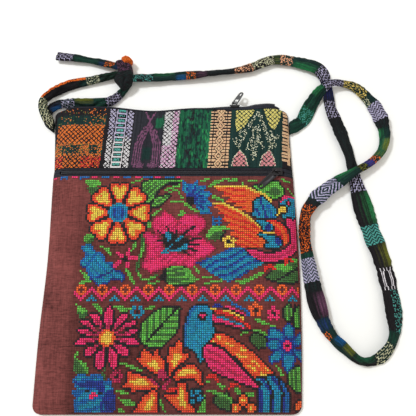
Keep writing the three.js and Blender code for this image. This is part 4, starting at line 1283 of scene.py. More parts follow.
def upper_leaves(chart):
    """Leaves and sprigs of the upper field."""
    area, inked, line = chart.area, chart.inked, chart.line
    area("leaf", (2.5, 146.5), (8, 147), (12.5, 146), (12.5, 143), (9, 141.5), (5, 142), (3, 144))
    area("moss", (4, 142), (9, 141), (12, 142.5), (11, 138), (8, 136), (5.5, 138))
    area("leaf", (4, 104), (4, 108), (7, 110.5), (10.5, 110.5), (10.5, 107), (8, 105.5))
    area("moss", (5.5, 104), (8, 107.5), (11, 108), (11, 105), (8, 103.5))
    area("leaf", (12.5, 102.5), (17, 101.5), (20, 101), (23, 97), (22.5, 95), (20, 96.5), (18, 99.5))
    area("leaf", (34.5, 98), (35, 102), (37.5, 105.5), (38, 101.5), (36, 99))
    line("moss", (42, 109), (41.5, 100), (39.5, 92), (39, 86), (42, 81), (47, 80), (51, 83), width=1.7)
    area("leaf", (42.5, 106), (43.2, 100), (41.5, 93.5), (40.7, 98), (41.8, 103))
    area("leaf", (31, 88), (34.5, 85.5), (36.5, 82), (38, 77.5), (35.5, 78.5), (33, 83))
    area("leaf", (2.5, 87), (5.5, 85), (8.5, 82), (11.5, 78.5), (9, 78.5), (5, 82.5))
    area("leaf", (2.5, 77), (5, 80.5), (8, 79.5), (6, 77))
    area("leaf", (43.5, 113), (45, 117.5), (47.5, 118.5), (47.5, 115.5), (45.5, 113.5))
    line("leaf", (48, 122), (53.5, 127))
    line("leaf", (33.5, 144.5), (39.5, 147))
    line("leaf", (40, 84), (43, 80), (50, 82))
    line("leaf", (45, 77), (53, 79))
    fern = inked(
        "moss", (39.5, 134), (40.5, 145), (46, 146.5), (66, 147), (66, 145), (55, 144), (49, 136),
        (45, 130), (42, 133),
    )
    chart.stripes("leaf", fern, 0.9, 3.5, 1.6)
    frond = inked("moss", (46.5, 129), (50, 134.5), (60, 136.5), (55, 132), (52, 128))
    chart.stripes("leaf", frond, 0.6, 3, 1.6)
    line("leaf", (50, 145.5), (66, 146.3))
    line("leaf", (56, 140), (65, 142.8), width=1.8)
    line("leaf", (58, 138.5), (64, 139.5))
    line("leaf", (64, 139), (67, 134))
    line("black", (50, 138), (56, 143))
    line("black", (57, 144), (65, 144.8))
    line("leaf", (60, 132), (67, 132), width=1.8)
    area("leaf", (64.5, 122), (65.5, 125.5), (68.5, 126.5), (69, 124), (66.5, 121.5))
    line("leaf", (79, 146), (85, 147.5))
    line("leaf", (88, 145.5), (97, 147.5))
    line("leaf", (111, 145.5), (116, 146.5))
    area("leaf", (83, 141.5), (87, 145), (93, 147), (95, 146), (90, 144), (86, 142))
    area("leaf", (95, 145), (99, 147.3), (104, 147.8), (104.5, 146.5), (100, 145))
    area("leaf", (105.5, 143), (105.5, 145), (107.5, 145), (107.5, 143))
    area("leaf", (85, 135), (88, 136), (92, 134.5), (96, 132), (93, 131.5), (89, 133))
    inked(
        "leaf", (114, 142.5), (119, 143), (124, 146), (130, 145.5), (134, 140), (133, 136), (129, 134),
        (124, 134.5), (121, 138), (117, 138.5),
    )
    area("moss", (122, 138), (126, 141), (130, 141.5), (132, 138), (128, 135))
    line("leaf", (133, 147), (138, 146))
    line("leaf", (137, 141), (141, 137))
    area(
        "leaf", (82.5, 108), (84, 113), (88, 115.3), (96, 115), (100, 113), (95, 112.5), (90, 111.5),
        (86, 108),
    )
    area("moss", (84, 107), (87, 110.5), (91, 111.8), (95, 111), (93, 107.5), (89, 105.2), (86, 105.8))
    line("black", (95, 111.5), (92, 106))
    ground = inked(
        "moss", (54, 82), (57, 86), (62, 88.5), (68, 88), (72, 85), (76, 80), (70, 77), (60, 77.5),
    )
    chart.stripes("leaf", ground, 0.1, 3.4, 1.2)
    line("leaf", (58, 87), (64, 88.5), (70, 87.5))
    area("black", (54, 82), (57, 86.5), (58, 81), (57, 78))
    area("leaf", (68, 88), (72, 87), (76, 82), (80, 80), (74, 79), (69, 84))
    area("leaf", (75, 89), (77.5, 88), (78.5, 84), (76.5, 85.5))
    line("leaf", (82, 78), (93, 80))
    line("leaf", (80, 82), (86, 82))
    area("leaf", (100, 79.5), (105, 77), (111, 80), (118, 83.5), (120, 86), (115, 84.5), (108, 81))
    inked("moss", (121, 82), (128, 90), (134, 91), (141, 94), (142, 80), (134, 78), (126, 79.5))
    area("leaf", (125, 87), (128, 90.5), (134, 90), (138, 88), (134, 84.5), (130, 86.5))
    area("leaf", (138, 94), (141.5, 94), (141.5, 91), (138, 91.5))
    line("black", (128, 80), (141, 88))


def heart_flower(chart, c=25.5, r=124.0, petals=8):
    """Flower of heart-shaped petals about a blue core."""
    for k in range(petals):
        angle = 2 * math.pi * k / petals
        along = (chart.c - c) * math.cos(angle) + (chart.r - r) * math.sin(angle)
        aside = np.abs((chart.r - r) * math.cos(angle) - (chart.c - c) * math.sin(angle))
        cone = (aside < 0.5 * (along - 4)) & (along > 5) & (along < 16.5)
        petal = cone | (np.hypot(along - 17.4, aside - 2.9) < 3.3)
        chart.put("scarlet", petal, outline="black")
        chart.put("orange", petal & ~chart.rim(petal))
        inner = (aside < 0.5 * (along - 7.5)) & (along > 9.5) & (along < 16)
        chart.put("gold", inner | (np.hypot(along - 16.2, aside - 2.5) < 2.1))
    core = np.hypot(chart.c - c, chart.r - r)
    chart.put("sky", core < 6.6)
    chart.put("blue", core < 4.6)
    chart.put("navy", (core < 4.2) & (np.abs(chart.c - c) % 2.8 > 1.4))


def bell_flower(chart):
    """Blue flower at the left edge, with a small pink one beside it."""
    bell = (
        (2.5, 101), (5, 103), (9, 103), (11.5, 99), (14, 98), (17.5, 97), (18, 93), (19.5, 91.5),
        (23.5, 91), (24.5, 87), (29, 86), (32, 82), (29.5, 79), (24, 80.5), (20, 77), (15, 76.5),
        (10.5, 80), (9, 83.5), (6.5, 87), (3, 89.5), (2.5, 92.5), (5, 95), (6, 97), (4.5, 99),
    )
    shape = chart.area("blue", *bell)
    chart.put("navy", chart.rim(shape) & (chart.r < 90))
    inner = shape & ~chart.rim(shape)
    chart.stripes("sky", inner, -0.9, 6.5, 5.2)
    chart.line("navy", (10.3, 80.7), (16, 82.4), (21, 84.5), (24, 86.6))
    chart.line("blue", (12, 97), (9, 92.6), (7, 88.4), (9, 84), (12, 82), width=2)
    for start, end in (
        ((26, 97.5), (29, 95.5)),
        ((33.5, 99.5), (33, 97)),
        ((34, 94.5), (38, 94.5)),
        ((32, 92), (33, 88.5)),
        ((28, 92.5), (25, 89)),
    ):
        chart.line("pink", start, end, width=2.4)
    chart.disc("black", 31, 93.5, 1.8)


def star_flower(chart):
    """Large pink flower with a dark, spiked heart."""
    for petal in (
        (
            (50, 111), (48.5, 116), (50, 120), (53, 120), (56, 125), (58, 121.5), (61, 121), (63.5, 117),
            (66.5, 115), (64, 111), (60, 109), (55, 110),
        ),
        (
            (63.5, 112), (65, 117), (68, 121.5), (74, 122), (80, 120.5), (82, 117), (79, 112), (75, 109),
            (70, 110),
        ),
        ((74, 108), (79, 107), (84, 103.5), (88, 101), (84, 97), (79, 95), (75, 93), (71, 95), (72, 101)),
        (
            (54, 97), (60, 97), (66, 96), (72, 97), (76, 93), (74, 88.5), (68, 90.5), (60, 90),
            (55, 88.5), (48, 85.5), (43, 89), (43, 91), (47, 95),
        ),
        (
            (43, 110.5), (47, 109.5), (51, 109), (54, 105), (54.5, 99), (51, 95), (45, 93.5), (46, 99),
            (45, 104),
        ),
    ):
        shape = chart.area("pink", *petal, outline="rose")
        shade = shape & (np.hypot(chart.c - 63, chart.r - 104) < 15)
        chart.stripes("rose", shade, 0.8, 4, 1.4)
    chart.area(
        "black", (55, 109), (58, 112), (61, 111), (64, 108), (70, 107.5), (72, 104), (70, 100),
        (66, 98.5), (60, 98), (57, 101), (55, 105),
    )
    for spike in (
        (51.5, 112), (57.5, 114.5), (63.5, 112.5), (75, 115), (71, 112), (79, 107), (78.5, 103),
        (77, 98.5), (71, 96.5), (54, 97.5), (51, 106),
    ):
        chart.line("black", (62, 104), spike)
    chart.area("sky", (57, 111), (59.5, 111.5), (60, 107), (58.5, 104.5), (57, 107))
    chart.area("sky", (61.5, 104.5), (66, 109), (68.5, 108), (66, 105.5))
    chart.area("sky", (60, 99.5), (66, 100.5), (68.5, 103.5), (72, 102.5), (70, 100))
    chart.line("sky", (55, 97.5), (61, 103))
    chart.line("sky", (57, 98), (67, 99.5))


def cornflower(chart, c=73.0, r=133.5):
    """Blue flower of pointed petals about a dark heart."""
    for tip_c, tip_r in (
        (67, 147), (72.5, 144), (77, 147.5), (83, 143.5), (87, 138), (88, 129.5), (86.5, 122.5),
    ):
        dc, dr = tip_c - c, tip_r - r
        middle_c, middle_r = c + 0.6 * dc, r + 0.6 * dr
        side_c, side_r = -0.22 * dr, 0.22 * dc
        petal = chart.area(
            "sky", (c, r), (middle_c + side_c, middle_r + side_r), (tip_c, tip_r),
            (middle_c - side_c, middle_r - side_r),
        )
        chart.put("blue", chart.rim(petal))
        chart.line("navy", (c, r), (middle_c, middle_r))
    chart.disc("navy", c, r, 3.6)
    chart.area("black", (69, 134), (74, 135.5), (75, 132), (73, 128), (69, 128))
    chart.line("leaf", (69, 130), (73, 127), (77, 125), width=2)


def long_tailed_bird(chart):
    """Bird of the upper field, its wings spread to the left."""
    area, inked, line = chart.area, chart.inked, chart.line
    wing = area(
        "orange", (88.5, 142.5), (108, 142.5), (113, 139.5), (118, 137), (116, 133), (117, 131),
        (113, 127), (113.5, 124), (108, 125.5), (103, 125.5), (106, 128), (99, 128), (102.5, 131),
        (95.5, 131.5), (99, 134.5), (92.5, 135.5), (96, 138), (90, 139),
    )
    chart.stripes("red", wing & (chart.c < 109), -0.2, 4, 1.4, 0.5)
    line("gold", (88.5, 142), (108, 142), (113, 139.5), (121, 136.5), (125, 132), width=1.8)
    low_wing = area(
        "orange", (88, 129), (95, 130), (100, 127.5), (104, 125.5), (109, 122), (113.5, 118.5),
        (119, 113), (120, 110), (125, 105), (121, 103.5), (126, 101), (126, 99.5), (122, 100), (118, 101),
        (110, 100.5), (105, 101.5), (100, 104), (103.5, 107), (97.5, 109.5), (101, 112.5), (95, 114.5),
        (98.5, 117.5), (92, 119), (96, 122), (90, 123.5), (93.5, 126), (87.5, 127),
    )
    chart.stripes("red", low_wing & (chart.c < 117), -0.4, 4, 1.4, 0.5)
    line(
        "gold", (87, 130), (95, 130), (100, 127), (104, 125.5), (109, 122), (114, 118), (119, 113),
        (121, 111), width=1.8,
    )
    inked(
        "sky", (113.5, 132), (117, 134), (118.5, 135.5), (121, 134), (123, 131), (128, 127.5), (128, 120),
        (121, 119.5), (116, 120.5), (112, 123.5), (114.5, 125),
    )
    line("navy", (118, 134), (122, 121))
    line("navy", (115, 127), (118, 122))
    line("blue", (123, 129), (126, 121), width=1.8)
    inked(
        "sky", (115.5, 119), (120, 118.8), (126, 116), (126.5, 112.5), (123.5, 111.5), (120, 113),
        (117.5, 116),
    )
    chart.disc("navy", 123, 114, 2.2)
    inked(
        "sky", (115, 110), (122, 109.5), (128, 108), (131.5, 106), (131.5, 102.5), (127, 100.5),
        (121, 101), (119.5, 102.5), (124, 103.5), (121, 107),
    )
    chart.disc("navy", 129, 105, 2.2)
    line("gold", (120, 111), (126, 111))
    area(
        "red", (122, 119), (128, 119), (133, 116), (135.5, 112), (136, 106), (134, 102.5), (131.5, 101.5),
        (132.5, 105), (131, 108), (127, 110), (126.5, 115),
    )
    line("orange", (126, 117), (131, 114), (133.5, 109), (133.5, 104), width=2)
    inked(
        "pink", (134, 120.5), (137, 120), (140.5, 121), (141.5, 120), (141.5, 100), (139, 97.5),
        (133, 94), (127, 92), (119, 92), (113, 95), (107, 100), (110, 100.3), (120, 97.5), (127, 97.5),
        (133.5, 99.5), (138, 104.5), (138, 112), (135, 117),
    )
    line("rose", (113, 96.5), (120, 94.5), (128, 94.5), (135, 97.5), (140, 103))
    line(
        "black", (116, 119.7), (128, 119.5), (133, 117), (136.5, 112), (137, 104), (133, 100),
        (125, 98.2), (120, 98.2),
    )
    inked(
        "sky", (131.5, 120.5), (133, 125), (131, 131), (134, 134.5), (138, 135.3), (141.5, 135),
        (141.5, 121.5), (139, 121), (136.5, 122), (134, 121),
    )
    area(
        "pink", (130.5, 130), (132.5, 134.5), (136, 136.8), (141.5, 136.8), (141.5, 135), (136, 134.6),
        (133, 132),
    )
    chart.disc("black", 137, 131, 2.2)
    chart.disc("pink", 137, 131, 0.9)
    inked("gold", (129, 122), (129.5, 126), (132, 128.3), (135, 128.5), (134.5, 124.5), (131.5, 124.5))
    tail = area(
        "navy", (76, 91), (88, 95.5), (98, 100.5), (107, 100.5), (108, 98), (114, 94), (120, 91),
        (116, 88.5), (110, 85.5), (104, 81.5), (97, 79), (94, 80), (88, 83), (80, 88.5),
    )
    chart.stripes("blue", tail, 0.45, 5.2, 4.1, 0.8)
    chart.stripes("sky", tail, 0.45, 5.2, 2.7, 0.8)
    area(
        "red", (119, 85.5), (120, 89), (123, 90.5), (126, 88.5), (127.5, 86), (125, 86), (123, 88.5),
        (121, 86),
    )
    area("red", (132, 90.5), (133, 94), (137, 95), (140, 91.5), (138, 91.5), (135, 93), (134, 88.5))


def small_blossoms(chart):
    """Small flowers set between the larger figures."""
    for c, r in ((87.5, 120), (91, 120), (87.5, 117), (91, 117)):
        chart.disc("blue", c, r, 1.5)
    chart.blossom("gold", "black", 97.3, 104.7, 3.0, 1.6, 5, 0.3)
    chart.blossom("sky", "black", 40, 60.5, 2.9, 1.5, 6)
    chart.blossom("rose", "black", 29, 22, 2.6, 1.5, 6)
    chart.blossom("orange", "black", 113.5, 61.5, 3.0, 1.7, 5, 0.3)
    chart.blossom("pink", "black", 124.5, 59.5, 3.0, 1.7, 5, 0.3)
    for c, r in ((74.5, 12.5), (78, 13), (79, 9.5), (75, 8)):
        chart.disc("sky", c, r, 1.7, outline="black")
    for c, r in ((105, 8.5), (100.5, 4), (109.5, 4)):
        chart.disc("orange", c, r, 2.8, outline="black")
        chart.disc("gold", c, r, 1.0)
    chart.disc("black", 105, 4, 1.8)


def border(chart, first_dip=4, repeat=14, low_row=51):
    """Zigzag between the two fields, with rings above its dips and wedges below its peaks."""
    stitch = chart.c[0, 1] - chart.c[0, 0]
    column, row = np.floor(chart.c / stitch), np.floor(chart.r / stitch) - low_row
    field = (chart.c > 0) & (row >= 0)

    def stitches_from(first):
        """Whole stitches from the nearest repeat."""
        middle = first + repeat * np.round((chart.c - first) / repeat)
        return np.abs(column - np.floor(middle / stitch))

    dip, peak = stitches_from(first_dip), stitches_from(first_dip + repeat / 2)
    up = np.abs(row - 5)
    chart.put("sky", field & (peak <= 2 - row) & ((peak > 0) | (row > 0)))
    chart.put("orange", field & (np.maximum(dip, up) <= 2) & (dip + up >= 2) & (dip + up <= 3))
    chart.put("pink", field & (row >= dip) & (row <= dip + 1) & (row < 7))
    step = (chart.c + 1) % repeat
    top = (chart.r > 147.6) & (chart.c < 66)
    feet = (chart.r > 146.9) & (chart.c < 0) & ((step < 1.4) | (step > 4.6))
    chart.put("blue", (top | feet) & (step < 6))
    chart.put("pink", top & (step > 8) & (step < 12))


def daisy(chart, c=22, r=44.5):
    """Pink daisy of the lower field."""
    inward = []
    for petal in (
        ((22.5, 64.8), (20.3, 60), (20.3, 54), (21.5, 51), (23.5, 51), (24.7, 54), (24.7, 60)),
        ((26.5, 51.5), (27.5, 56), (31, 59), (34.5, 59.5), (34, 57), (31, 53.5), (28, 51.5)),
        ((31, 51), (34, 54), (40, 55), (38.5, 52.5), (34, 50.5)),
        ((31, 47), (34, 49), (40.5, 49.8), (39, 47), (34.5, 46)),
        ((29.5, 43), (33, 44.8), (38, 44.5), (42, 41.3), (36, 41), (31, 41.8)),
        ((27, 40), (31, 40), (35.5, 38), (36, 33.5), (33, 33.5), (29.5, 36)),
        ((23.5, 38.5), (26.5, 37.5), (29.5, 33), (29, 28), (26, 26), (24.5, 29), (23, 33)),
        ((21.5, 38), (21.5, 32), (20.5, 28), (18.5, 25.5), (15.5, 29), (15.5, 34), (18, 37)),
        ((17, 40), (12, 39.5), (9, 37.5), (9, 34), (11.5, 34), (14.5, 36)),
        ((15, 43), (10, 45), (6, 44), (2.5, 41.3), (8, 41), (13, 41.8)),
        ((13.5, 47), (10, 46.2), (6, 47.3), (3.5, 49.8), (9, 50), (12, 48.5)),
        ((13.5, 51), (10, 55), (5, 55), (6, 53.5), (9, 51.5), (12, 50.5)),
        ((18.5, 51.5), (18, 55), (15, 59), (10.5, 59), (12, 56.5), (14.5, 53)),
    ):
        chart.inked("pink", *petal)
        inward.append(np.mean(petal, axis=0))
    chart.disc("black", c, r, 6.8)
    for place in inward:
        chart.line("rose", (c, r), place)
    chart.disc("orange", c, r, 5)
    chart.disc("gold", c, r, 3.6)


def lower_leaves(chart):
    """Leaves and branches of the lower field."""
    area, inked, line = chart.area, chart.inked, chart.line
    area("leaf", (1.5, 65), (5, 64), (9, 61.5), (11, 60), (6, 59), (3, 60.5))
    area("moss", (2.5, 61), (6, 59.5), (10, 60), (8, 57), (4, 56))
    area("leaf", (11, 65), (15, 65), (18, 62), (19, 58), (17.5, 58.5), (15, 61.5))
    area("leaf", (23.5, 65), (27, 63.8), (36.5, 63.3), (36, 61.5), (31, 60), (28, 61.5))
    area("leaf", (43.5, 62), (47, 63.8), (53.5, 64.8), (49, 62), (45, 61.3))
    striped = inked(
        "moss", (42, 45), (43.5, 53), (49, 59), (54, 62), (59, 63), (66, 62), (67, 65), (65.5, 58),
        (65, 50), (62, 45), (57, 40), (51, 39), (45, 40.5),
    )
    upper = chart.r > 42 + (chart.c - 46) * 1.15
    chart.put("leaf", striped & upper & (chart.c % 3.9 < 2.6))
    chart.put("leaf", striped & ~upper & (chart.r % 3.9 < 2.6))
    line("black", (46, 42), (55, 52), (65, 63))
    area(
        "leaf", (4, 38), (5, 36.5), (4.5, 33.5), (7, 31), (10, 29.5), (12.5, 26), (12, 22.5), (10, 24.5),
        (8, 28), (5, 31), (2.8, 34),
    )
    area("moss", (2.5, 33), (5, 31), (8, 28), (10, 24), (8, 23), (4, 24), (2.5, 27))
    line("moss", (22, 28), (20.5, 24), (22, 20))
    area("leaf", (30.5, 29.5), (34, 30), (39, 28.5), (45.5, 25), (41, 25.5), (35, 27.5))
    area("leaf", (27.5, 15), (31, 14.8), (37, 12.5), (33, 12), (30, 13))
    area("leaf", (30, 10.5), (33, 9), (38, 8.5), (42, 6.5), (37, 5), (33, 6.5))
    area("leaf", (29.5, 4.2), (32, 3.5), (35.5, 1), (30, 1.5))
    area("leaf", (81.5, 15), (82.5, 8), (83, 1), (77, 1.5), (78.5, 4), (80.5, 7))
    area("leaf", (82, 20.5), (85, 19.8), (87, 17.5), (84, 18))
    area("leaf", (89, 18.5), (92, 18), (95, 15.5), (92, 15))
    area("leaf", (99, 15), (101, 15.5), (104, 13.5), (111.5, 12.5), (112, 10.5), (105, 11.5), (100, 12.5))
    inked("moss", (87, 8), (90, 12), (95, 12.5), (98.5, 8), (97, 3), (92, 3.5))
    line("leaf", (84, 14), (90, 12.5), (97, 9.5), (98, 7), width=1.8)
    area("leaf", (112, 57), (116, 55.8), (121, 53.2), (127, 51.3), (120, 52), (115, 53.8))
    area(
        "leaf", (102.5, 45.5), (106, 48.5), (111, 50.5), (116, 50), (120, 47), (122.5, 44), (121, 43),
        (117, 46.5), (112, 48.5), (107, 47.5),
    )
    inked("moss", (110, 44), (112, 47.5), (116, 46.5), (119.5, 43), (118.5, 39), (114, 38.5), (111, 41))
    for leaf in (
        ((131, 59), (132, 64), (135, 66), (136.5, 60), (134.5, 54), (132, 55)),
        ((137, 52), (138, 60), (142, 66), (142, 51)),
        ((132, 18), (133, 25), (138, 27.5), (142, 28), (142, 14), (137, 13.5)),
    ):
        shape = inked("moss", *leaf)
        chart.put("leaf", shape & (chart.c % 3 < 1.6))
    line("black", (134.5, 53), (137, 60), (138.5, 65))
    area("leaf", (124.5, 28.5), (127, 27.5), (129.5, 22), (127.5, 23))
    inked("orange", (136, 3), (137, 6.5), (139.5, 9), (140, 4), (138, 1.5))


def pansy(chart):
    """Blue flower at the lower left corner."""
    flower = chart.area(
        "blue", (3, 20), (5, 23), (9, 23.5), (12, 22), (14, 24.3), (19, 24), (21, 21), (21.5, 19),
        (25, 22), (26, 18), (28, 14), (27.5, 9), (26, 3), (22, 0.5), (5, 0.5), (4.5, 4), (5, 10),
        (2, 13.5), (5, 15), (3.5, 17),
    )
    chart.stripes("sky", flower & ~chart.rim(flower), 0.3, 6, 3.6)
    chart.area(
        "navy", (3.5, 19.5), (8, 18.5), (14, 19.5), (20.8, 19), (23, 13.5), (20, 12), (16, 15.5),
        (10, 15.5), (6, 16.5),
    )
    chart.area("navy", (21.7, 12.7), (27.6, 15.4), (29, 7.5), (28, 1), (23, 1), (21.5, 6.4))
    chart.line("blue", (6, 12), (5.5, 2), width=2.6)
    chart.area("black", (10.5, 15), (13, 15), (12.5, 12.5), (11, 12.5))
    chart.area("black", (18.5, 13.5), (22, 13), (20.5, 11.2), (18.8, 11.5))
    chart.line("navy", (20, 7), (21, 2))
    chart.area("pink", (11.5, 8.5), (13, 10.5), (15, 13), (17.5, 12.5), (18.5, 10), (16, 10.5), (14, 9))


def lily(chart):
    """Orange lily of six curled petals."""
    petals = (
        (
            (
                (40, 33), (43.5, 32), (44, 38), (47.5, 36.5), (50, 34), (53, 38.5), (54.5, 34),
                (57, 31.5), (58, 26), (60, 21), (56, 21), (52, 24), (47, 26.5), (44, 29),
            ),
            ((47, 29), (52, 32), (54, 29), (55.5, 24), (52, 26)),
        ),
        (
            (
                (32, 16), (35.5, 19), (34.5, 22.5), (36, 24.5), (42, 23.5), (47, 22), (53, 18.5),
                (56, 15.5), (50, 14.5), (44, 15), (38, 12.5), (38.5, 15),
            ),
            ((37, 19), (42, 21), (47, 20), (49, 17.5), (43, 16.5), (39, 17.5)),
        ),
        (
            ((38.5, 1), (42, 5), (45, 10), (50, 14), (54.5, 13.5), (53.5, 8), (54, 2), (53, 1)),
            ((45, 2), (48, 8), (51, 12), (52, 10), (50, 4), (49, 1.5)),
        ),
        (
            (
                (59.5, 32), (60, 39), (61.5, 40), (63, 37.5), (64, 41), (66, 43), (69, 42), (68.5, 36),
                (72, 35.5), (72.5, 34), (69.5, 31), (66, 29), (63, 26), (61, 22), (60, 27),
            ),
            ((62, 30), (63.5, 36), (66, 36), (68.5, 33), (66, 31), (63.5, 27)),
        ),
        (
            (
                (63, 20.5), (64.5, 24.5), (69, 28), (75, 28.5), (79, 26), (80, 20.5), (81, 16.5),
                (78.5, 17), (76.5, 20.5), (73, 21.5), (68, 20.5), (65, 20),
            ),
            ((65, 23), (69, 26), (75, 26.5), (77.5, 24), (74, 23.5), (69, 22.5)),
        ),
        (
            (
                (66, 18.5), (70, 18.5), (71.5, 13), (73, 7), (76.5, 2), (70, 1), (66, 3), (62, 7),
                (57, 11), (60, 12.5), (66, 11.5),
            ),
            ((67, 16), (69, 14), (70, 9), (71, 4), (67, 6), (66, 10)),
        ),
    )
    for petal, light in petals:
        shape = chart.inked("orange", *petal)
        rim = chart.rim(shape)
        chart.put("scarlet", rim)
        chart.put("gold", chart.inside(light) & shape & ~rim)
    chart.area("rose", (54, 26), (58, 26), (60, 21), (57, 20), (53, 22))
    chart.area("rose", (49, 21.5), (53, 19), (55, 16), (52, 17), (48.5, 20))
    chart.line("rose", (57, 15), (61, 20), width=2)
    chart.line("red", (60, 14), (66, 15), width=2)
    chart.line("leaf", (55, 9), (58, 2))


def toucan(chart):
    """Long-beaked bird of the lower field."""
    area, inked, line = chart.area, chart.inked, chart.line
    inked(
        "sky", (70, 40), (70, 52), (71.5, 58), (74, 62.5), (78, 64.5), (83, 64), (86.5, 61), (87, 57),
        (86, 53.5), (87.5, 50), (87.5, 47), (85, 44), (83.5, 41.5), (81, 39.5), (81, 34), (80.3, 29),
        (79, 30.5), (77.5, 34), (75, 37), (72, 38.5),
    )
    line("blue", (70.5, 40), (70.5, 52), (73, 60), (77, 64), width=1.8)
    chart.disc("black", 80.5, 58, 2.8)
    chart.disc("pink", 80.5, 58, 1.5)
    area("navy", (86, 62.5), (88, 65), (91, 65), (93.5, 62.5))
    line("blue", (99, 65.5), (103, 63.5), (108, 60.5), (109, 58.5), width=1.8)
    area(
        "pink", (94, 64), (99, 63.5), (103, 61.5), (107, 59), (108, 57), (104, 58.5), (100, 60.5),
        (95, 62),
    )
    line("black", (94, 62.2), (100, 60.8), (106, 57.5))
    line("gold", (86, 61.7), (93, 61.3), (99, 60), (103, 58), (106, 56))
    area(
        "red", (88, 61), (93, 61), (99, 59), (104, 56), (110, 52), (110, 50), (106, 53), (99, 57),
        (93, 58.5), (89, 58.8),
    )
    line("sky", (88, 57.5), (94, 56.3), (100, 54), (106, 52))
    area(
        "pink", (86, 57.5), (87, 59.5), (89, 57), (94, 55.5), (100, 53), (107, 51), (106, 50),
        (100, 51.5), (93, 53.5), (86.5, 54.5),
    )
    line("black", (86.5, 53.6), (93, 52.7), (100, 50.6), (106, 49.2), (110.5, 49.5))
    wing = inked(
        "orange", (84, 42), (87.5, 44.5), (88.5, 47.5), (92, 47.5), (97, 45.5), (102, 42), (108, 38.5),
        (114, 33.5), (119, 29), (123.5, 24.5), (124, 22), (121, 23), (118, 21), (112, 21.5), (108, 25),
        (103, 31), (98, 35.5), (94, 39), (90, 40.5), (86, 41.2),
    )
    chart.put("scarlet", chart.rim(wing))
    chart.stripes("scarlet", wing & (chart.c % 8 < 5), -1.3, 6, 1.5, 1.5)
    chart.stripes("gold", wing & ~chart.rim(wing) & ((chart.c - chart.r) % 13 < 9), -0.45, 4.2, 1.5, 0.8)
    belly = inked(
        "pink", (81, 38.5), (84, 40.5), (89, 40), (93, 37.5), (98, 32.5), (104, 27), (109, 21.5),
        (113, 18), (115.5, 16.3), (110, 16.2), (104, 18.5), (98, 21), (92, 22.5), (87, 25.5), (84, 28.5),
        (82, 32.5),
    )
    chart.stripes("rose", belly & ~chart.rim(belly), -0.5, 4.6, 1.6, 0.8)
    line("black", (84, 41.2), (90, 40.3), (97, 35), (104, 28.5), (111, 21), (116, 16), width=1.7)
    tail = inked(
        "sky", (112, 20.5), (118, 21), (121, 22.5), (124.5, 22), (129, 18.5), (132, 13), (132, 1),
        (114, 1), (114, 14), (115.5, 16.5), (117.5, 18),
    )
    fall = chart.c + np.maximum(chart.r - 13, 0) * 0.75
    dark = (fall < 117) | ((fall > 121) & (fall < 123)) | ((fall > 128) & (fall < 130))
    chart.put("navy", tail & dark)
    chart.put("blue", tail & (fall > 130))
    line("black", (119, 20), (122, 14), (121.5, 1))
    line("black", (126, 20), (128.5, 13), (128, 1))
    area("red", (83, 21.5), (84.5, 24), (88, 23.5), (91, 20), (89.5, 17.5), (88, 20.5), (85, 21.5))
    area("red", (96, 15), (97.5, 18.5), (101, 19), (104, 16), (101, 17), (99, 15.5))


def wheel_flower(chart, c=132.5, r=40):
    """Large blue flower at the right edge."""
    for petal in (
        ((131, 44), (131.5, 51), (134, 53), (136.5, 50.5), (136, 45)),
        ((121, 45), (122.5, 49.3), (127.5, 49), (131, 45), (129.5, 42.5), (125, 43.5)),
        ((120, 41.5), (123.5, 43.5), (129, 42), (129.5, 38.5), (124, 37.5), (120.5, 39)),
        ((121.5, 30.5), (122.5, 34.5), (127, 37.5), (130, 37), (128.5, 33), (125, 31)),
        ((129, 31), (131, 36.5), (135, 36.5), (136.5, 32), (134, 27.5), (132, 24.5), (130.5, 27)),
        ((136, 38), (142, 36), (142, 31), (137, 34.5)),
        ((136, 43), (142, 48), (142, 42), (137, 40.5)),
    ):
        shape = chart.area("sky", *petal, outline="navy")
        chart.put("blue", shape & (np.hypot(chart.c - c, chart.r - r) < 6.5))
    chart.disc("navy", c, r, 4.2)
    chart.disc("pink", c, r, 2.9)
    chart.disc("black", c, r, 1.1)


class BAG_OT_embroidery(bpy.types.Operator):
    """Sew the cross-stitched flowers and birds on the front panel"""

    bl_idname = "bag.embroidery"
    bl_label = "Embroidery"

    def execute(self, context):
        pitch = sizes().stitch
        step = pitch / CHART_UNIT
        over = np.arange(-STRIP_STITCHES + 0.5, FIELD_COLUMNS / step) * step
        columns, rows = np.meshgrid(over, np.arange(0.5, FIELD_ROWS / step) * step)
        chart = Chart(columns, rows)
        for figure in (
            upper_leaves, heart_flower, bell_flower, star_flower, cornflower, long_tailed_bird,
            lower_leaves, daisy, pansy, lily, toucan, wheel_flower, small_blossoms, border,
        ):
            figure(chart)
        x, y = FIELD_LEFT + columns * CHART_UNIT, BOTTOM_Y + rows * CHART_UNIT
        margin = FIELD_MARGIN * pitch
        on_cloth = (x < right_edge(y) - margin) & (x > left_edge(y) + margin)
        on_cloth &= (y > BOTTOM_Y + margin) & (y < PANEL_TOP - margin)
        sewn = on_cloth & chart.drawn()
        material = yarn("embroidery_yarn")
        draw = np.random.default_rng(sizes().seed + 1)
        parts = (("upper_embroidery", rows > BORDER_MIDDLE), ("lower_embroidery", rows < BORDER_MIDDLE))
        for name, part in parts:
            mask = sewn & part
            stitches = cross_stitches(x[mask], y[mask], chart.names[mask], draw)
            stitched_piece(name, *stitches, material, "panel_cloth")
        return {"FINISHED"}


def stitched_piece(name, points, faces, dyes, material, slot):
    """A piece of many like stitches, each in its own dye."""
    shape = piece(name, points, faces, material, slot)
    paint(shape, dyes)
    plan_map(shape)


def repeated(points, dyes, quads):
    """Points, faces and dyes of many stitches with the same faces."""
    faces = (np.arange(len(points[0])) * len(points))[:, None, None] + np.array(quads)[None]
    flat_points, flat_dyes = (np.stack(rows, 1).reshape(-1, 3) for rows in (points, dyes))
    return flat_points, faces.reshape(-1, 4).tolist(), flat_dyes


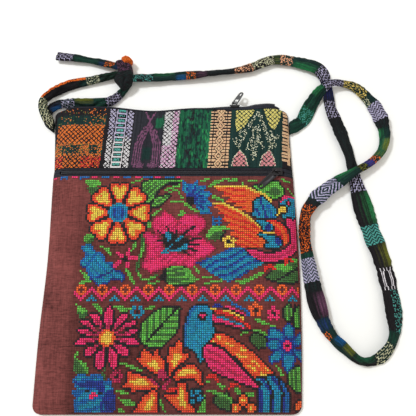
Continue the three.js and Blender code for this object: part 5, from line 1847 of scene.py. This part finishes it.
def cross_stitches(x, y, names, draw):
    """Two crossing strands for each stitch, over a painted shadow on the cloth between them, with painted
    shade at their ends and edges and low on the bag, and a painted highlight at their middles.
    """
    pitch, rise = sizes().stitch, sizes().stitch_rise
    count = len(x)
    shade = threads(names) * shades(draw, 0.72, 0.4, (count, 1))
    shade *= shades(draw, 0.85, 0.3, (count, 3))
    # Painted shade, darker towards the bottom of the bag
    shade *= 1 - STITCH_LOW_PAINTED_SHADE * ((PANEL_TOP - y) / (PANEL_TOP - BOTTOM_Y))[:, None]
    slip = draw.normal(0, STITCH_SLIP * pitch, (count, 2))
    puff = shades(draw, 0.85, 0.3, count)
    points, dyes, quads = [], [], [(0, 1, 2, 3)]

    def add(offset, height, painted_light):
        px, py = x + offset[0] * pitch + slip[:, 0], y + offset[1] * pitch + slip[:, 1]
        points.append(np.stack([px, py, front_height(px, py) + height * rise * puff], -1))
        dyes.append(np.minimum(shade * painted_light, STITCH_BRIGHTEST))

    # A dark square under each stitch: painted shadow on the cloth between the strands
    for corner in ((-0.5, -0.5), (0.5, -0.5), (0.5, 0.5), (-0.5, 0.5)):
        add(corner, STITCH_GAP_RISE, STITCH_GAP_PAINTED_SHADOW)
    for lean, level in STRANDS:
        way = np.array((1.0, lean)) / math.sqrt(2)
        side = np.array((-way[1], way[0]))
        start = len(points)
        for u in (-1, -0.5, 0, 0.5, 1):
            bow = 1 - u * u
            taper = 1 - STITCH_TAPER + STITCH_TAPER * bow
            for v in (-1, 0, 1):
                offset = way * u * STITCH_REACH + side * v * STITCH_HALF_WIDTH * taper
                height = STITCH_END_RISE + level * bow + STITCH_ROUNDNESS * (1 - v * v)
                # Painted shade at the strand's ends and edges, painted highlight at its middle
                painted_light = STITCH_END_PAINTED_SHADE + (STITCH_MIDDLE_PAINTED_HIGHLIGHT - STITCH_END_PAINTED_SHADE) * bow
                add(offset, height, painted_light * (1 - STITCH_EDGE_PAINTED_SHADE * v * v))
        first = [start + a for a in (0, 1, 3, 4, 6, 7, 9, 10)]
        quads += [(a, a + 3, a + 4, a + 1) for a in first]
    return repeated(points, dyes, quads)


# Brocade band


def band_units(x, y):
    """Columns and rows of the band's cloth, counted along its leaning stripes."""
    row = (y - BAND_BOTTOM) / BAND_UNIT
    column = (x - BAND_LEFT) / BAND_UNIT
    return column - (row - BAND_MIDDLE_ROW) * BAND_LEAN, row


def band_rise(x, y):
    """How far the mouth's edge lifts the band's cloth up the bag."""
    steps = np.linspace(0, 1, 101)
    share = np.interp((y - BAND_BOTTOM) / (BAND_TOP - BAND_BOTTOM), closer_at_ends(steps), steps)
    return share**2 * mouth_rise(x)


def band_dyes(x, y):
    """Tie-dyed ground of the band, its patches feathered thread by thread."""
    draw = np.random.default_rng(sizes().seed + 2)
    column, row = band_units(x, y)
    which = np.clip((column * 2).astype(int), 0, BAND_THREADS - 1)
    chart = Chart(column, row + draw.normal(0, 0.9, BAND_THREADS)[which])
    chart.names[:] = "black"
    chart.box("deep", 2, 10, 44, 22)
    chart.box("deep", 2, 36, 44, 46)
    chart.box("ink", 67, -3, 92, 56)
    chart.box("deep", 76.5, 7, 83, 18)
    chart.box("green", 85, 35, 92, 44)
    vase = 80
    for side in (-1, 1):
        for k in range(4):
            reach = side * (11 - 1.9 * k)
            chart.line(
                "mauve", (vase, 41 - 2 * k), (vase + 0.6 * reach, 31 - 1.6 * k), (vase + 0.92 * reach, 20),
                (vase + reach, 2 + k), (vase + 0.3 * reach, k), width=0.8,
            )
            chart.line("mauve", (vase + 0.4 * reach, 50 - k), (vase, 42 - 0.5 * k), width=0.8)
    left, middle, right = 104.5, 117.5, 131
    chart.box("deep", left, -3, right, 56)
    panel = (column > left) & (column < right)
    patches = draw.normal(0, 1, (24, 20))
    up = (np.clip(chart.r, -4, 55) + 4).astype(int) // 3
    mottle = patches[up, np.clip(column - left, 0, 26).astype(int) // 2]
    mottle += 0.5 * draw.normal(0, 1, BAND_THREADS)[which] + np.abs(column - middle) / 9 - 0.6
    chart.put("green", panel & (mottle > 0))
    chart.put("bright", panel & (mottle > 2.1))
    chart.put("black", panel & (mottle < -1.6))
    chart.box("deep", 147, -3, 191, 56)
    return threads(chart.names) * shades(draw, 0.65, 0.7, BAND_THREADS)[which][:, None]


def brocade(chart, draw):
    """Raised floats of the band, stripe by stripe from its left end."""
    c, r = chart.c, chart.r
    chance = draw.random(c.shape)

    def crossed(period, wide):
        """Lines of a slanting lattice."""
        return ((c + r) % period < wide) | ((c - r) % period < wide)

    block = (c > 4) & (c < 43)
    chart.put("flame", block & (r > 20) & (r < 37) & ~crossed(3.9, 1.15) & (chance < 0.93))
    chart.put("olive", block & (r > 37) & (chance < 0.05))
    chart.put("flame", block & (r > 37) & crossed(4.6, 0.9) & (chance < 0.06 + 0.18 * (c > 28)))
    chart.put("flame", block & (r < 12) & ~crossed(3.7, 1.15) & (chance < 0.76))
    chart.put("flame", block & (r > 11) & (r < 20.5) & (chance < 0.44))
    chart.put("red", block & (r < 10) & ((c < 13) | (c > 27)) & (chance < 0.3))
    chart.put("olive", block & (r > 11) & (r < 20.5) & (chance > 0.9))
    for hole in ((10, 12, 25, 19), (33, 12, 40, 19)):
        chart.put(None, chart.within(*hole) & (draw.random(c.shape) < 0.7))
    from_middle = np.abs(c - 56.2)
    side = (from_middle > 5.2) & (from_middle < 9.8) & ~crossed(3.5, 1.0)
    side |= np.abs(from_middle - 3.9) < 0.4
    side |= (from_middle < 3.5) & (r % 4.3 < 1.3)
    chart.put("white", side)
    chart.put("lilac", side & (r > 22 + 8 * chance))
    chart.put("teal", (from_middle < 2.6) & (r % 4.3 > 2.0) & (r % 4.3 < 3.7) & (chance < 0.8))
    pale = (c > 92) & (c < 104) & ~crossed(3.8, 0.85)
    chart.put("white", pale)
    chart.put("blush", pale & ((c > 99) | (r < 20)) & (chance < 0.75))
    ladder = (c > 130.5) & (c < 147)
    from_ladder = np.abs(c - 138.7)
    chart.put("peach", ladder & (r % 2.7 < 1.6))
    chart.put(None, ladder & (np.abs(from_ladder - 5.6) < 0.4))
    ring = from_ladder / 3.8 + np.abs(r % 6.7 - 3.35) / 4.6
    chart.put("peach", ring < 1.15)
    chart.put(None, (ring < 1.15) & ((ring > 0.95) | ((ring > 0.36) & (ring < 0.56))) & ladder)
    dark = crossed(3.7, 0.85)
    latticed(chart, "yellow", dark, (151, 51.8), (167, 51.8), (163, 44), (158, 36), (152, 31.5), (151, 42))
    latticed(chart, "yellow", dark, (174, 51.8), (189.5, 51.8), (188, 42), (184, 33), (181, 33), (178, 40))
    for line in (
        ((167, 47), (163, 37), (158, 27), (155, 20)),
        ((170, 49), (173, 40), (177, 30), (180, 23), (181, 17)),
        ((167, 36), (165, 24), (162, 16)), ((170, 36), (171, 26), (174, 18)),
        ((166, 18), (167, 8)), ((169, 24), (169, 10)), ((151, 26), (154, 18)),
        ((186, 27), (184, 18)), ((158, 34), (155, 28)), ((181, 31), (183, 24)),
    ):
        chart.put("cream", (chart.near(line) < 1.7) & (chance < 0.24))
    for coral in (
        ((149.5, 1), (163.5, 1), (161, 10), (156, 15.5), (151, 9)),
        ((172, 1), (186, 1), (184, 9), (180, 15.5), (174, 10)),
    ):
        shape = latticed(chart, "coral", dark, *coral)
        chart.put("cream", shape & (chart.near(coral[1:] + coral[:1]) < 0.7) & (chance < 0.7))
    chart.put("peach", (c > 190.5) & (c < 196) & (r % 3 < 2.1) & (r > 5))
    chart.put("peach", (c > 195.5) & (c < 198) & (r > 3))


def latticed(chart, dye, lattice, *corners):
    """A figure crossed by a dark lattice."""
    shape = chart.inside(corners)
    chart.put(dye, shape)
    chart.put(None, shape & lattice)
    return shape


def floats(x, y, names, draw):
    """One short raised float for each dyed cell of the band, with a painted highlight along its middle and
    painted shade at its edges.
    """
    pitch = sizes().float_pitch
    count = len(x)
    shade = threads(names) * shades(draw, 0.75, 0.5, (count, 1))
    rise = pitch * FLOAT_RISE * shades(draw, 0.8, 0.4, count)
    points, dyes = [], []
    for u in (-1, 0, 1):
        for v in (-1, 0, 1):
            px = x + u * FLOAT_HALF_LENGTH * pitch
            py = y + v * FLOAT_HALF_WIDTH * pitch
            height = rise * (FLOAT_END_RISE if u else 1) * (FLOAT_EDGE_RISE if v else 1)
            # Painted highlight along the float's middle, painted shade at its edges
            painted_light = FLOAT_EDGE_PAINTED_SHADE if v else FLOAT_MIDDLE_PAINTED_HIGHLIGHT
            points.append(np.stack([px, py + band_rise(px, py), front_height(px, py) + height], -1))
            dyes.append(np.minimum(shade * painted_light, STITCH_BRIGHTEST))
    return repeated(points, dyes, [(a, a + 3, a + 4, a + 1) for a in (0, 1, 3, 4)])


class BAG_OT_brocade(bpy.types.Operator):
    """Weave the raised floats of the upper band"""

    bl_idname = "bag.brocade"
    bl_label = "Brocade"

    def execute(self, context):
        pitch = sizes().float_pitch
        draw = np.random.default_rng(sizes().seed + 3)
        across_count = int(BAND_WIDTH / pitch)
        up_count = int((BAND_TOP - BAND_BOTTOM) / pitch)
        columns, rows = np.meshgrid(np.arange(across_count) + 0.5, np.arange(up_count) + 0.5)
        x, y = BAND_LEFT + columns * pitch, BAND_BOTTOM + rows * pitch
        chart = Chart(*band_units(x, y))
        brocade(chart, draw)
        margin = BAND_MARGIN * pitch
        inner = (x > left_edge(y) + margin) & (x < right_edge(y) - margin) & (y < BAND_TOP - margin)
        mask = inner & chart.drawn()
        woven_floats = floats(x[mask], y[mask], chart.names[mask], draw)
        stitched_piece("band_brocade", *woven_floats, yarn("brocade_yarn", amount=0.3), "band_cloth")
        return {"FINISHED"}


# Zips


def stations_along(node, count):
    """Even places across the bag along a node, and its length."""
    low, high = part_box(node)
    return np.linspace(low.x, high.x, count) - BAG_MIDDLE[0], high.x - low.x


def pocket_frame(x):
    """Middle of the pocket zip at x, the way it faces and the way to its upper tape, as (y, z)."""
    y = np.full_like(x, POCKET_ZIP_Y)
    centre = np.stack([y, front_height(x, y)], -1)
    return centre, np.tile((0.0, 1.0), (len(x), 1)), np.tile((1.0, 0.0), (len(x), 1))


def mouth_edge(x):
    """How far up the bag the mouth's cloth ends at x, and how high its front lies there."""
    return BAND_TOP + mouth_rise(x), front_height(x, np.full_like(x, BAND_TOP))


def mouth_frame(x):
    """Middle of the mouth zip at x, the way it faces and the way to its front tape, as (y, z)."""
    tilt = np.radians(zip_tilt(x))
    edge, front = mouth_edge(x)
    centre = np.stack([edge + zip_reach(x), front / 2 + zip_lift(x)], -1)
    facing = np.stack([np.cos(tilt), np.sin(tilt)], -1)
    return centre, facing, quarter_turn(facing)


def mouth_tape_line(x, side_sign):
    """Middle line of a mouth tape at each x: cloth edge, bend and free edge, as (y, z)."""
    edge, front = mouth_edge(x)
    centre, facing, side = mouth_frame(x)
    seat = edge + TAPE_SEAT
    front_level = front - CLOTH / 2
    room = np.minimum(TAPE_EDGE, front / 2 - TAPE_MOUTH_MARGIN)
    flange = FRONT_FLANGE if side_sign > 0 else BACK_FLANGE
    start = np.stack([seat, front_level if side_sign > 0 else np.full_like(x, CLOTH / 2)], -1)
    free = centre + side * (side_sign * room)[:, None] + facing * TAPE_LEVEL
    bend = centre + side * (side_sign * (room + flange))[:, None] + facing * TAPE_LEVEL
    bend[:, 0] = np.maximum(bend[:, 0], seat + TAPE_BEND_MARGIN)
    bend[:, 1] = np.clip(bend[:, 1], CLOTH / 2, front_level)
    level = front_level if side_sign > 0 else np.full_like(x, COIL_RADIUS + GAP)
    open_free = np.stack([seat + zip_flap(x), level], -1)
    opened = np.clip(zip_open(x), 0, 1)[:, None]
    bend = bend + ((start + open_free) / 2 - bend) * opened
    return start, bend, free + (open_free - free) * opened


def coil(path, wide_way, tall_way, half_wide, half_tall, turns, phase, wire, per_turn=10, sides=5):
    """Rings of a nylon coil wound round a path."""
    count = int(turns * per_turn) + 1
    share = np.linspace(0, 1, count)
    stations = np.linspace(0, 1, len(path))

    def lay(rows):
        return np.stack([np.interp(share, stations, rows[:, k]) for k in range(3)], 1)

    turn = 2 * np.pi * turns * share + phase
    line = lay(path)
    line += lay(wide_way) * (np.cos(turn) * half_wide)[:, None]
    line += lay(tall_way) * (np.sin(turn) * half_tall)[:, None]
    way = unit(np.gradient(line, axis=0))
    aside = unit(np.cross(way, np.array([1.0, 0.0, 0.0])))
    return line[:, None, :] + ring_round(aside, np.cross(way, aside), sides) * wire / 2


def ring_round(wide_way, tall_way, sides):
    """Points round a line, as far off as each of its two ways."""
    around = 2 * np.pi * np.arange(sides) / sides
    wide = np.cos(around)[None, :, None] * wide_way[:, None, :]
    return wide + np.sin(around)[None, :, None] * tall_way[:, None, :]


def coil_core(path, wide_way, tall_way, half_wide, half_tall, sides=8):
    """Rings of the cord that a coil is wound round."""
    return path[:, None, :] + ring_round(wide_way * half_wide, tall_way * half_tall, sides)


class BAG_OT_zips(bpy.types.Operator):
    """Make the zips' woven tapes and wound coils, and finish their sliders and pulls"""

    bl_idname = "bag.zips"
    bl_label = "Zips"

    def execute(self, context):
        tape = woven("zip_tape_cloth", "ink", uneven=0.8, depth=0.00015)
        plastic = yarn("zip_coil_nylon", "ink", amount=0.5, roughness=0.42, sheen=0.0, specular=0.4)
        for side, node in ((1, "pocket_zip_tape_upper"), (-1, "pocket_zip_tape_lower")):
            self.pocket_tape(node, side, tape)
        for side, node in ((1, "top_zip_tape_front"), (-1, "top_zip_tape_back")):
            self.mouth_tape(node, side, tape)
        self.chain("pocket_zip_coils", "pocket_zip_chain", 120, pocket_frame, plastic)
        self.chain("top_zip_coils", "top_zip_chain", 160, mouth_frame, plastic)
        for side, node in ((1, "top_zip_coil_front"), (-1, "top_zip_coil_back")):
            self.mouth_coil(node, side, plastic)
        self.metal()
        return {"FINISHED"}

    def pocket_tape(self, node, side, material, columns=240, rows=4):
        """A flat tape, which meets the other one past the chain and its slider."""
        u, v = unit_grid(columns, rows)
        from_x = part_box("pocket_zip_chain")[0].x
        to_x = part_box("pocket_zip_slider")[1].x
        place = across(u, POCKET_ZIP_Y) + BAG_MIDDLE[0]
        past_ends = np.maximum(from_x - place, place - to_x)
        inner = POCKET_ZIP_Y + side * np.interp(past_ends, TAPE_CLOSING, (TAPE_EDGE, GAP / 2))
        outer = POCKET_ZIP_Y + side * (ZIP_SLOT / 2 - GAP)
        y = inner + (outer - inner) * v
        x = across(u, y)
        face = front_height(x, y)
        sunk = np.maximum(face - TAPE_INSET, np.minimum(face, SEAM_TOP))
        under = np.maximum(sunk - TAPE, INNER_FLOOR)
        points, faces = slab(np.stack([x, y, sunk], -1), np.stack([x, y, under], -1))
        shape = piece(node + "_cloth", points, faces, material, "zip_tape")
        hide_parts(node)
        plan_map(shape)

    def mouth_tape(self, node, side, material, stations=160, steps=7):
        """A tape that bends from the mouth's cloth up to the zip."""
        x, _ = stations_along(node, stations)
        start, bend, free = mouth_tape_line(x, side)
        t = np.linspace(0, 1, steps)[:, None, None]
        curve = start * (1 - t) ** 2 + 2 * bend * t * (1 - t) + free * t**2
        straight = np.where(t < 0.5, start + (bend - start) * 2 * t, bend + (free - bend) * (2 * t - 1))
        line = 0.5 * curve + 0.5 * straight
        out = quarter_turn(unit(np.gradient(line, axis=0))) * TAPE / 2
        outline = np.concatenate([line + out, (line - out)[::-1]])
        rings = np.zeros((stations, len(outline), 3))
        rings[:, :, 0] = x[:, None]
        rings[:, :, 1] = outline[:, :, 0].T
        rings[:, :, 2] = np.maximum(outline[:, :, 1].T, GAP)
        points, faces = tube(rings)
        shape = piece(node + "_cloth", points, faces, material, "zip_tape")
        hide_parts(node)

    def chain(self, name, node, stations, frame_at, material):
        """Two meshed coils along a closed zip, each wound round a cord."""
        x, run = stations_along(node, stations)
        centre, facing, side = frame_at(x)
        path = np.column_stack([x, centre - facing * CHAIN_SINK])
        wide, tall = in_space(side), in_space(facing)
        turns = run / sizes().coil_pitch
        parts = []
        for sign, phase in ((1, 0.0), (-1, math.pi)):
            line = path + wide * (sign * CHAIN_HALF_SPACING)
            parts.append(tube(coil(line, wide, tall, *CHAIN_COIL, turns, phase, sizes().coil_wire)))
            parts.append(tube(coil_core(line, wide, tall, *CHAIN_CORD)))
        shape = piece(name, *joined(parts), material, "zip_coil")
        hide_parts(node)

    def mouth_coil(self, node, side, material, stations=60):
        """One parted coil along the free edge of its tape."""
        x, run = stations_along(node, stations)
        _, bend, free = mouth_tape_line(x, side)
        way = unit(free - bend)
        path = np.column_stack([x, free + way * (COIL_RADIUS + GAP)])
        wide, tall = in_space(way), in_space(quarter_turn(way))
        radius = COIL_RADIUS - sizes().coil_wire / 2
        turns = run / sizes().coil_pitch
        wound = tube(coil(path, wide, tall, radius, radius, turns, 0.0, sizes().coil_wire))
        sewn = path - wide * COIL_SEAM
        core = tube(coil_core(sewn, wide, tall, radius + COIL_SEAM, radius))
        shape = piece(node + "_nylon", *joined((wound, core)), material, "zip_coil")
        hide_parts(node)

    def metal(self):
        """The sliders and pulls, with softened edges and rubbed enamel."""
        black = thread("black") * ENAMEL_GAIN
        rows = (
            ("pocket_zip_slider", "bag", "slider_metal", black, -0.12),
            ("pocket_zip_pull", "pocket_pull", "pocket_pull_metal", black, -0.1),
            ("top_zip_slider", "bag", "slider_metal", black, -0.1),
            ("top_zip_pull", "top_pull", "top_pull_metal", GUNMETAL, -0.02),
        )
        for node, body, slot, colour, worn in rows:
            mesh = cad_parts[node].data.copy()
            mesh.materials.clear()
            mesh.materials.append(enamel(node + "_enamel", colour, BARE_METAL, worn))
            shape = linked(node + "_metal", mesh)
            weld = shape.modifiers.new("weld", "WELD")
            weld.merge_threshold = WELD_DISTANCE
            if node == "pocket_zip_pull":
                self.pierce(shape)
            bevel = shape.modifiers.new("bevel", "BEVEL")
            bevel.width = sizes().metal_bevel
            bevel.segments = 2
            bevel.limit_method = "ANGLE"
            shape.data.shade_smooth()
            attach(shape, body)
            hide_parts(node)

    def pierce(self, shape, sides=24):
        """Cut the oblong hole near the free, left end of a pull."""
        points = vertex_places(shape)
        middle = points.mean(0)
        along, aside, _ = np.linalg.svd(points - middle, full_matrices=False)[2]
        along *= -np.sign(along[0])
        centre = middle + along * (((points - middle) @ along).max() - HOLE_FROM_TIP)
        turn = np.linspace(0, 2 * math.pi, sides, endpoint=False)[:, None]
        ring = along * np.cos(turn) * HOLE_LENGTH / 2 + aside * np.sin(turn) * HOLE_WIDTH / 2
        through = np.cross(along, aside) * HOLE_REACH
        points, faces = tube(np.stack([centre + ring - through, centre + ring + through]))
        mesh = bpy.data.meshes.new("hole")
        mesh.from_pydata(points.tolist(), [], faces)
        cutter = linked("hole", mesh)
        cut = shape.modifiers.new("hole", "BOOLEAN")
        cut.object = cutter
        graph = bpy.context.evaluated_depsgraph_get()
        shape.data = bpy.data.meshes.new_from_object(shape.evaluated_get(graph))
        shape.data.set_sharp_from_angle(angle=SHARP_EDGE)
        shape.modifiers.clear()
        bpy.data.objects.remove(cutter)


# Stage


class BAG_OT_stage(bpy.types.Operator):
    """Make the pale floor, the soft light and the camera"""

    bl_idname = "bag.stage"
    bl_label = "Stage"

    def execute(self, context):
        scene = context.scene
        scene.view_settings.view_transform = "Standard"
        self.floor()
        world = scene.world or bpy.data.worlds.new("studio")
        scene.world = world
        world.use_nodes = True
        background = world.node_tree.nodes["Background"].inputs
        background["Color"].default_value = ROOM_COLOUR
        background["Strength"].default_value = ROOM_STRENGTH
        self.window()
        self.camera(scene)
        return {"FINISHED"}

    def floor(self, half=FLOOR_HALF):
        material, nodes, shader = new_material("pale_floor", 0.6)
        shade = nodes.maths("MULTIPLY_ADD", nodes.noise(object_places(nodes), 3.0), 0.02, 0.92)
        nodes.set(shader["Base Color"], nodes.scaled(FLOOR_COLOUR, shade))
        mesh = bpy.data.meshes.new("floor")
        corners = [(-half, -half, 0), (half, -half, 0), (half, half, 0), (-half, half, 0)]
        mesh.from_pydata(corners, [], [(0, 1, 2, 3)])
        mesh.materials.append(material)
        floor = linked("floor", mesh)
        floor.location.z = -FLOOR_DROP

    def window(self):
        light = bpy.data.lights.new("window", "AREA")
        light.size = WINDOW_SIZE
        light.energy = WINDOW_POWER
        light.color = WINDOW_COLOUR
        shape = linked("window", light)
        shape.location = WINDOW_PLACE
        shape.rotation_euler = (-Vector(WINDOW_PLACE)).to_track_quat("-Z", "Y").to_euler()

    def camera(self, scene):
        lens = bpy.data.cameras.new("camera")
        lens.sensor_width = CAMERA_SENSOR
        lens.lens = CAMERA_LENS
        lens.clip_start = CAMERA_NEAREST
        eye = linked("camera", lens)
        away = Vector((0, -math.cos(CAMERA_ELEVATION), math.sin(CAMERA_ELEVATION)))
        eye.location = Vector(CAMERA_TARGET) + Vector(BAG_MIDDLE) + CAMERA_REACH * away
        eye.rotation_euler = (math.pi / 2 - CAMERA_ELEVATION, 0, 0)
        scene.camera = eye


class BAG_PT_panel(bpy.types.Panel):
    """Lists the pieces that can be made"""

    bl_idname = "BAG_PT_panel"
    bl_label = "Woven Bag"
    bl_space_type = "VIEW_3D"
    bl_region_type = "UI"
    bl_category = "Bag"

    def draw(self, context):
        for operator in OPERATORS:
            self.layout.operator(operator.bl_idname)


OPERATORS = (BAG_OT_stage, BAG_OT_strap, BAG_OT_panels, BAG_OT_embroidery, BAG_OT_brocade, BAG_OT_zips)
CLASSES = (BagSizes, BagColours, *OPERATORS, BAG_PT_panel)


def register():
    for cls in CLASSES:
        bpy.utils.register_class(cls)
    bpy.types.Scene.bag_sizes = PointerProperty(type=BagSizes)
    bpy.types.Scene.bag_colours = PointerProperty(type=BagColours)


def unregister():
    del bpy.types.Scene.bag_colours
    del bpy.types.Scene.bag_sizes
    for cls in reversed(CLASSES):
        bpy.utils.unregister_class(cls)


def main():
    register()
    bpy.ops.bag.stage()
    bpy.ops.bag.strap()
    bpy.ops.bag.panels()
    bpy.ops.bag.embroidery()
    bpy.ops.bag.brocade()
    bpy.ops.bag.zips()


if __name__ == "__main__":
    main()
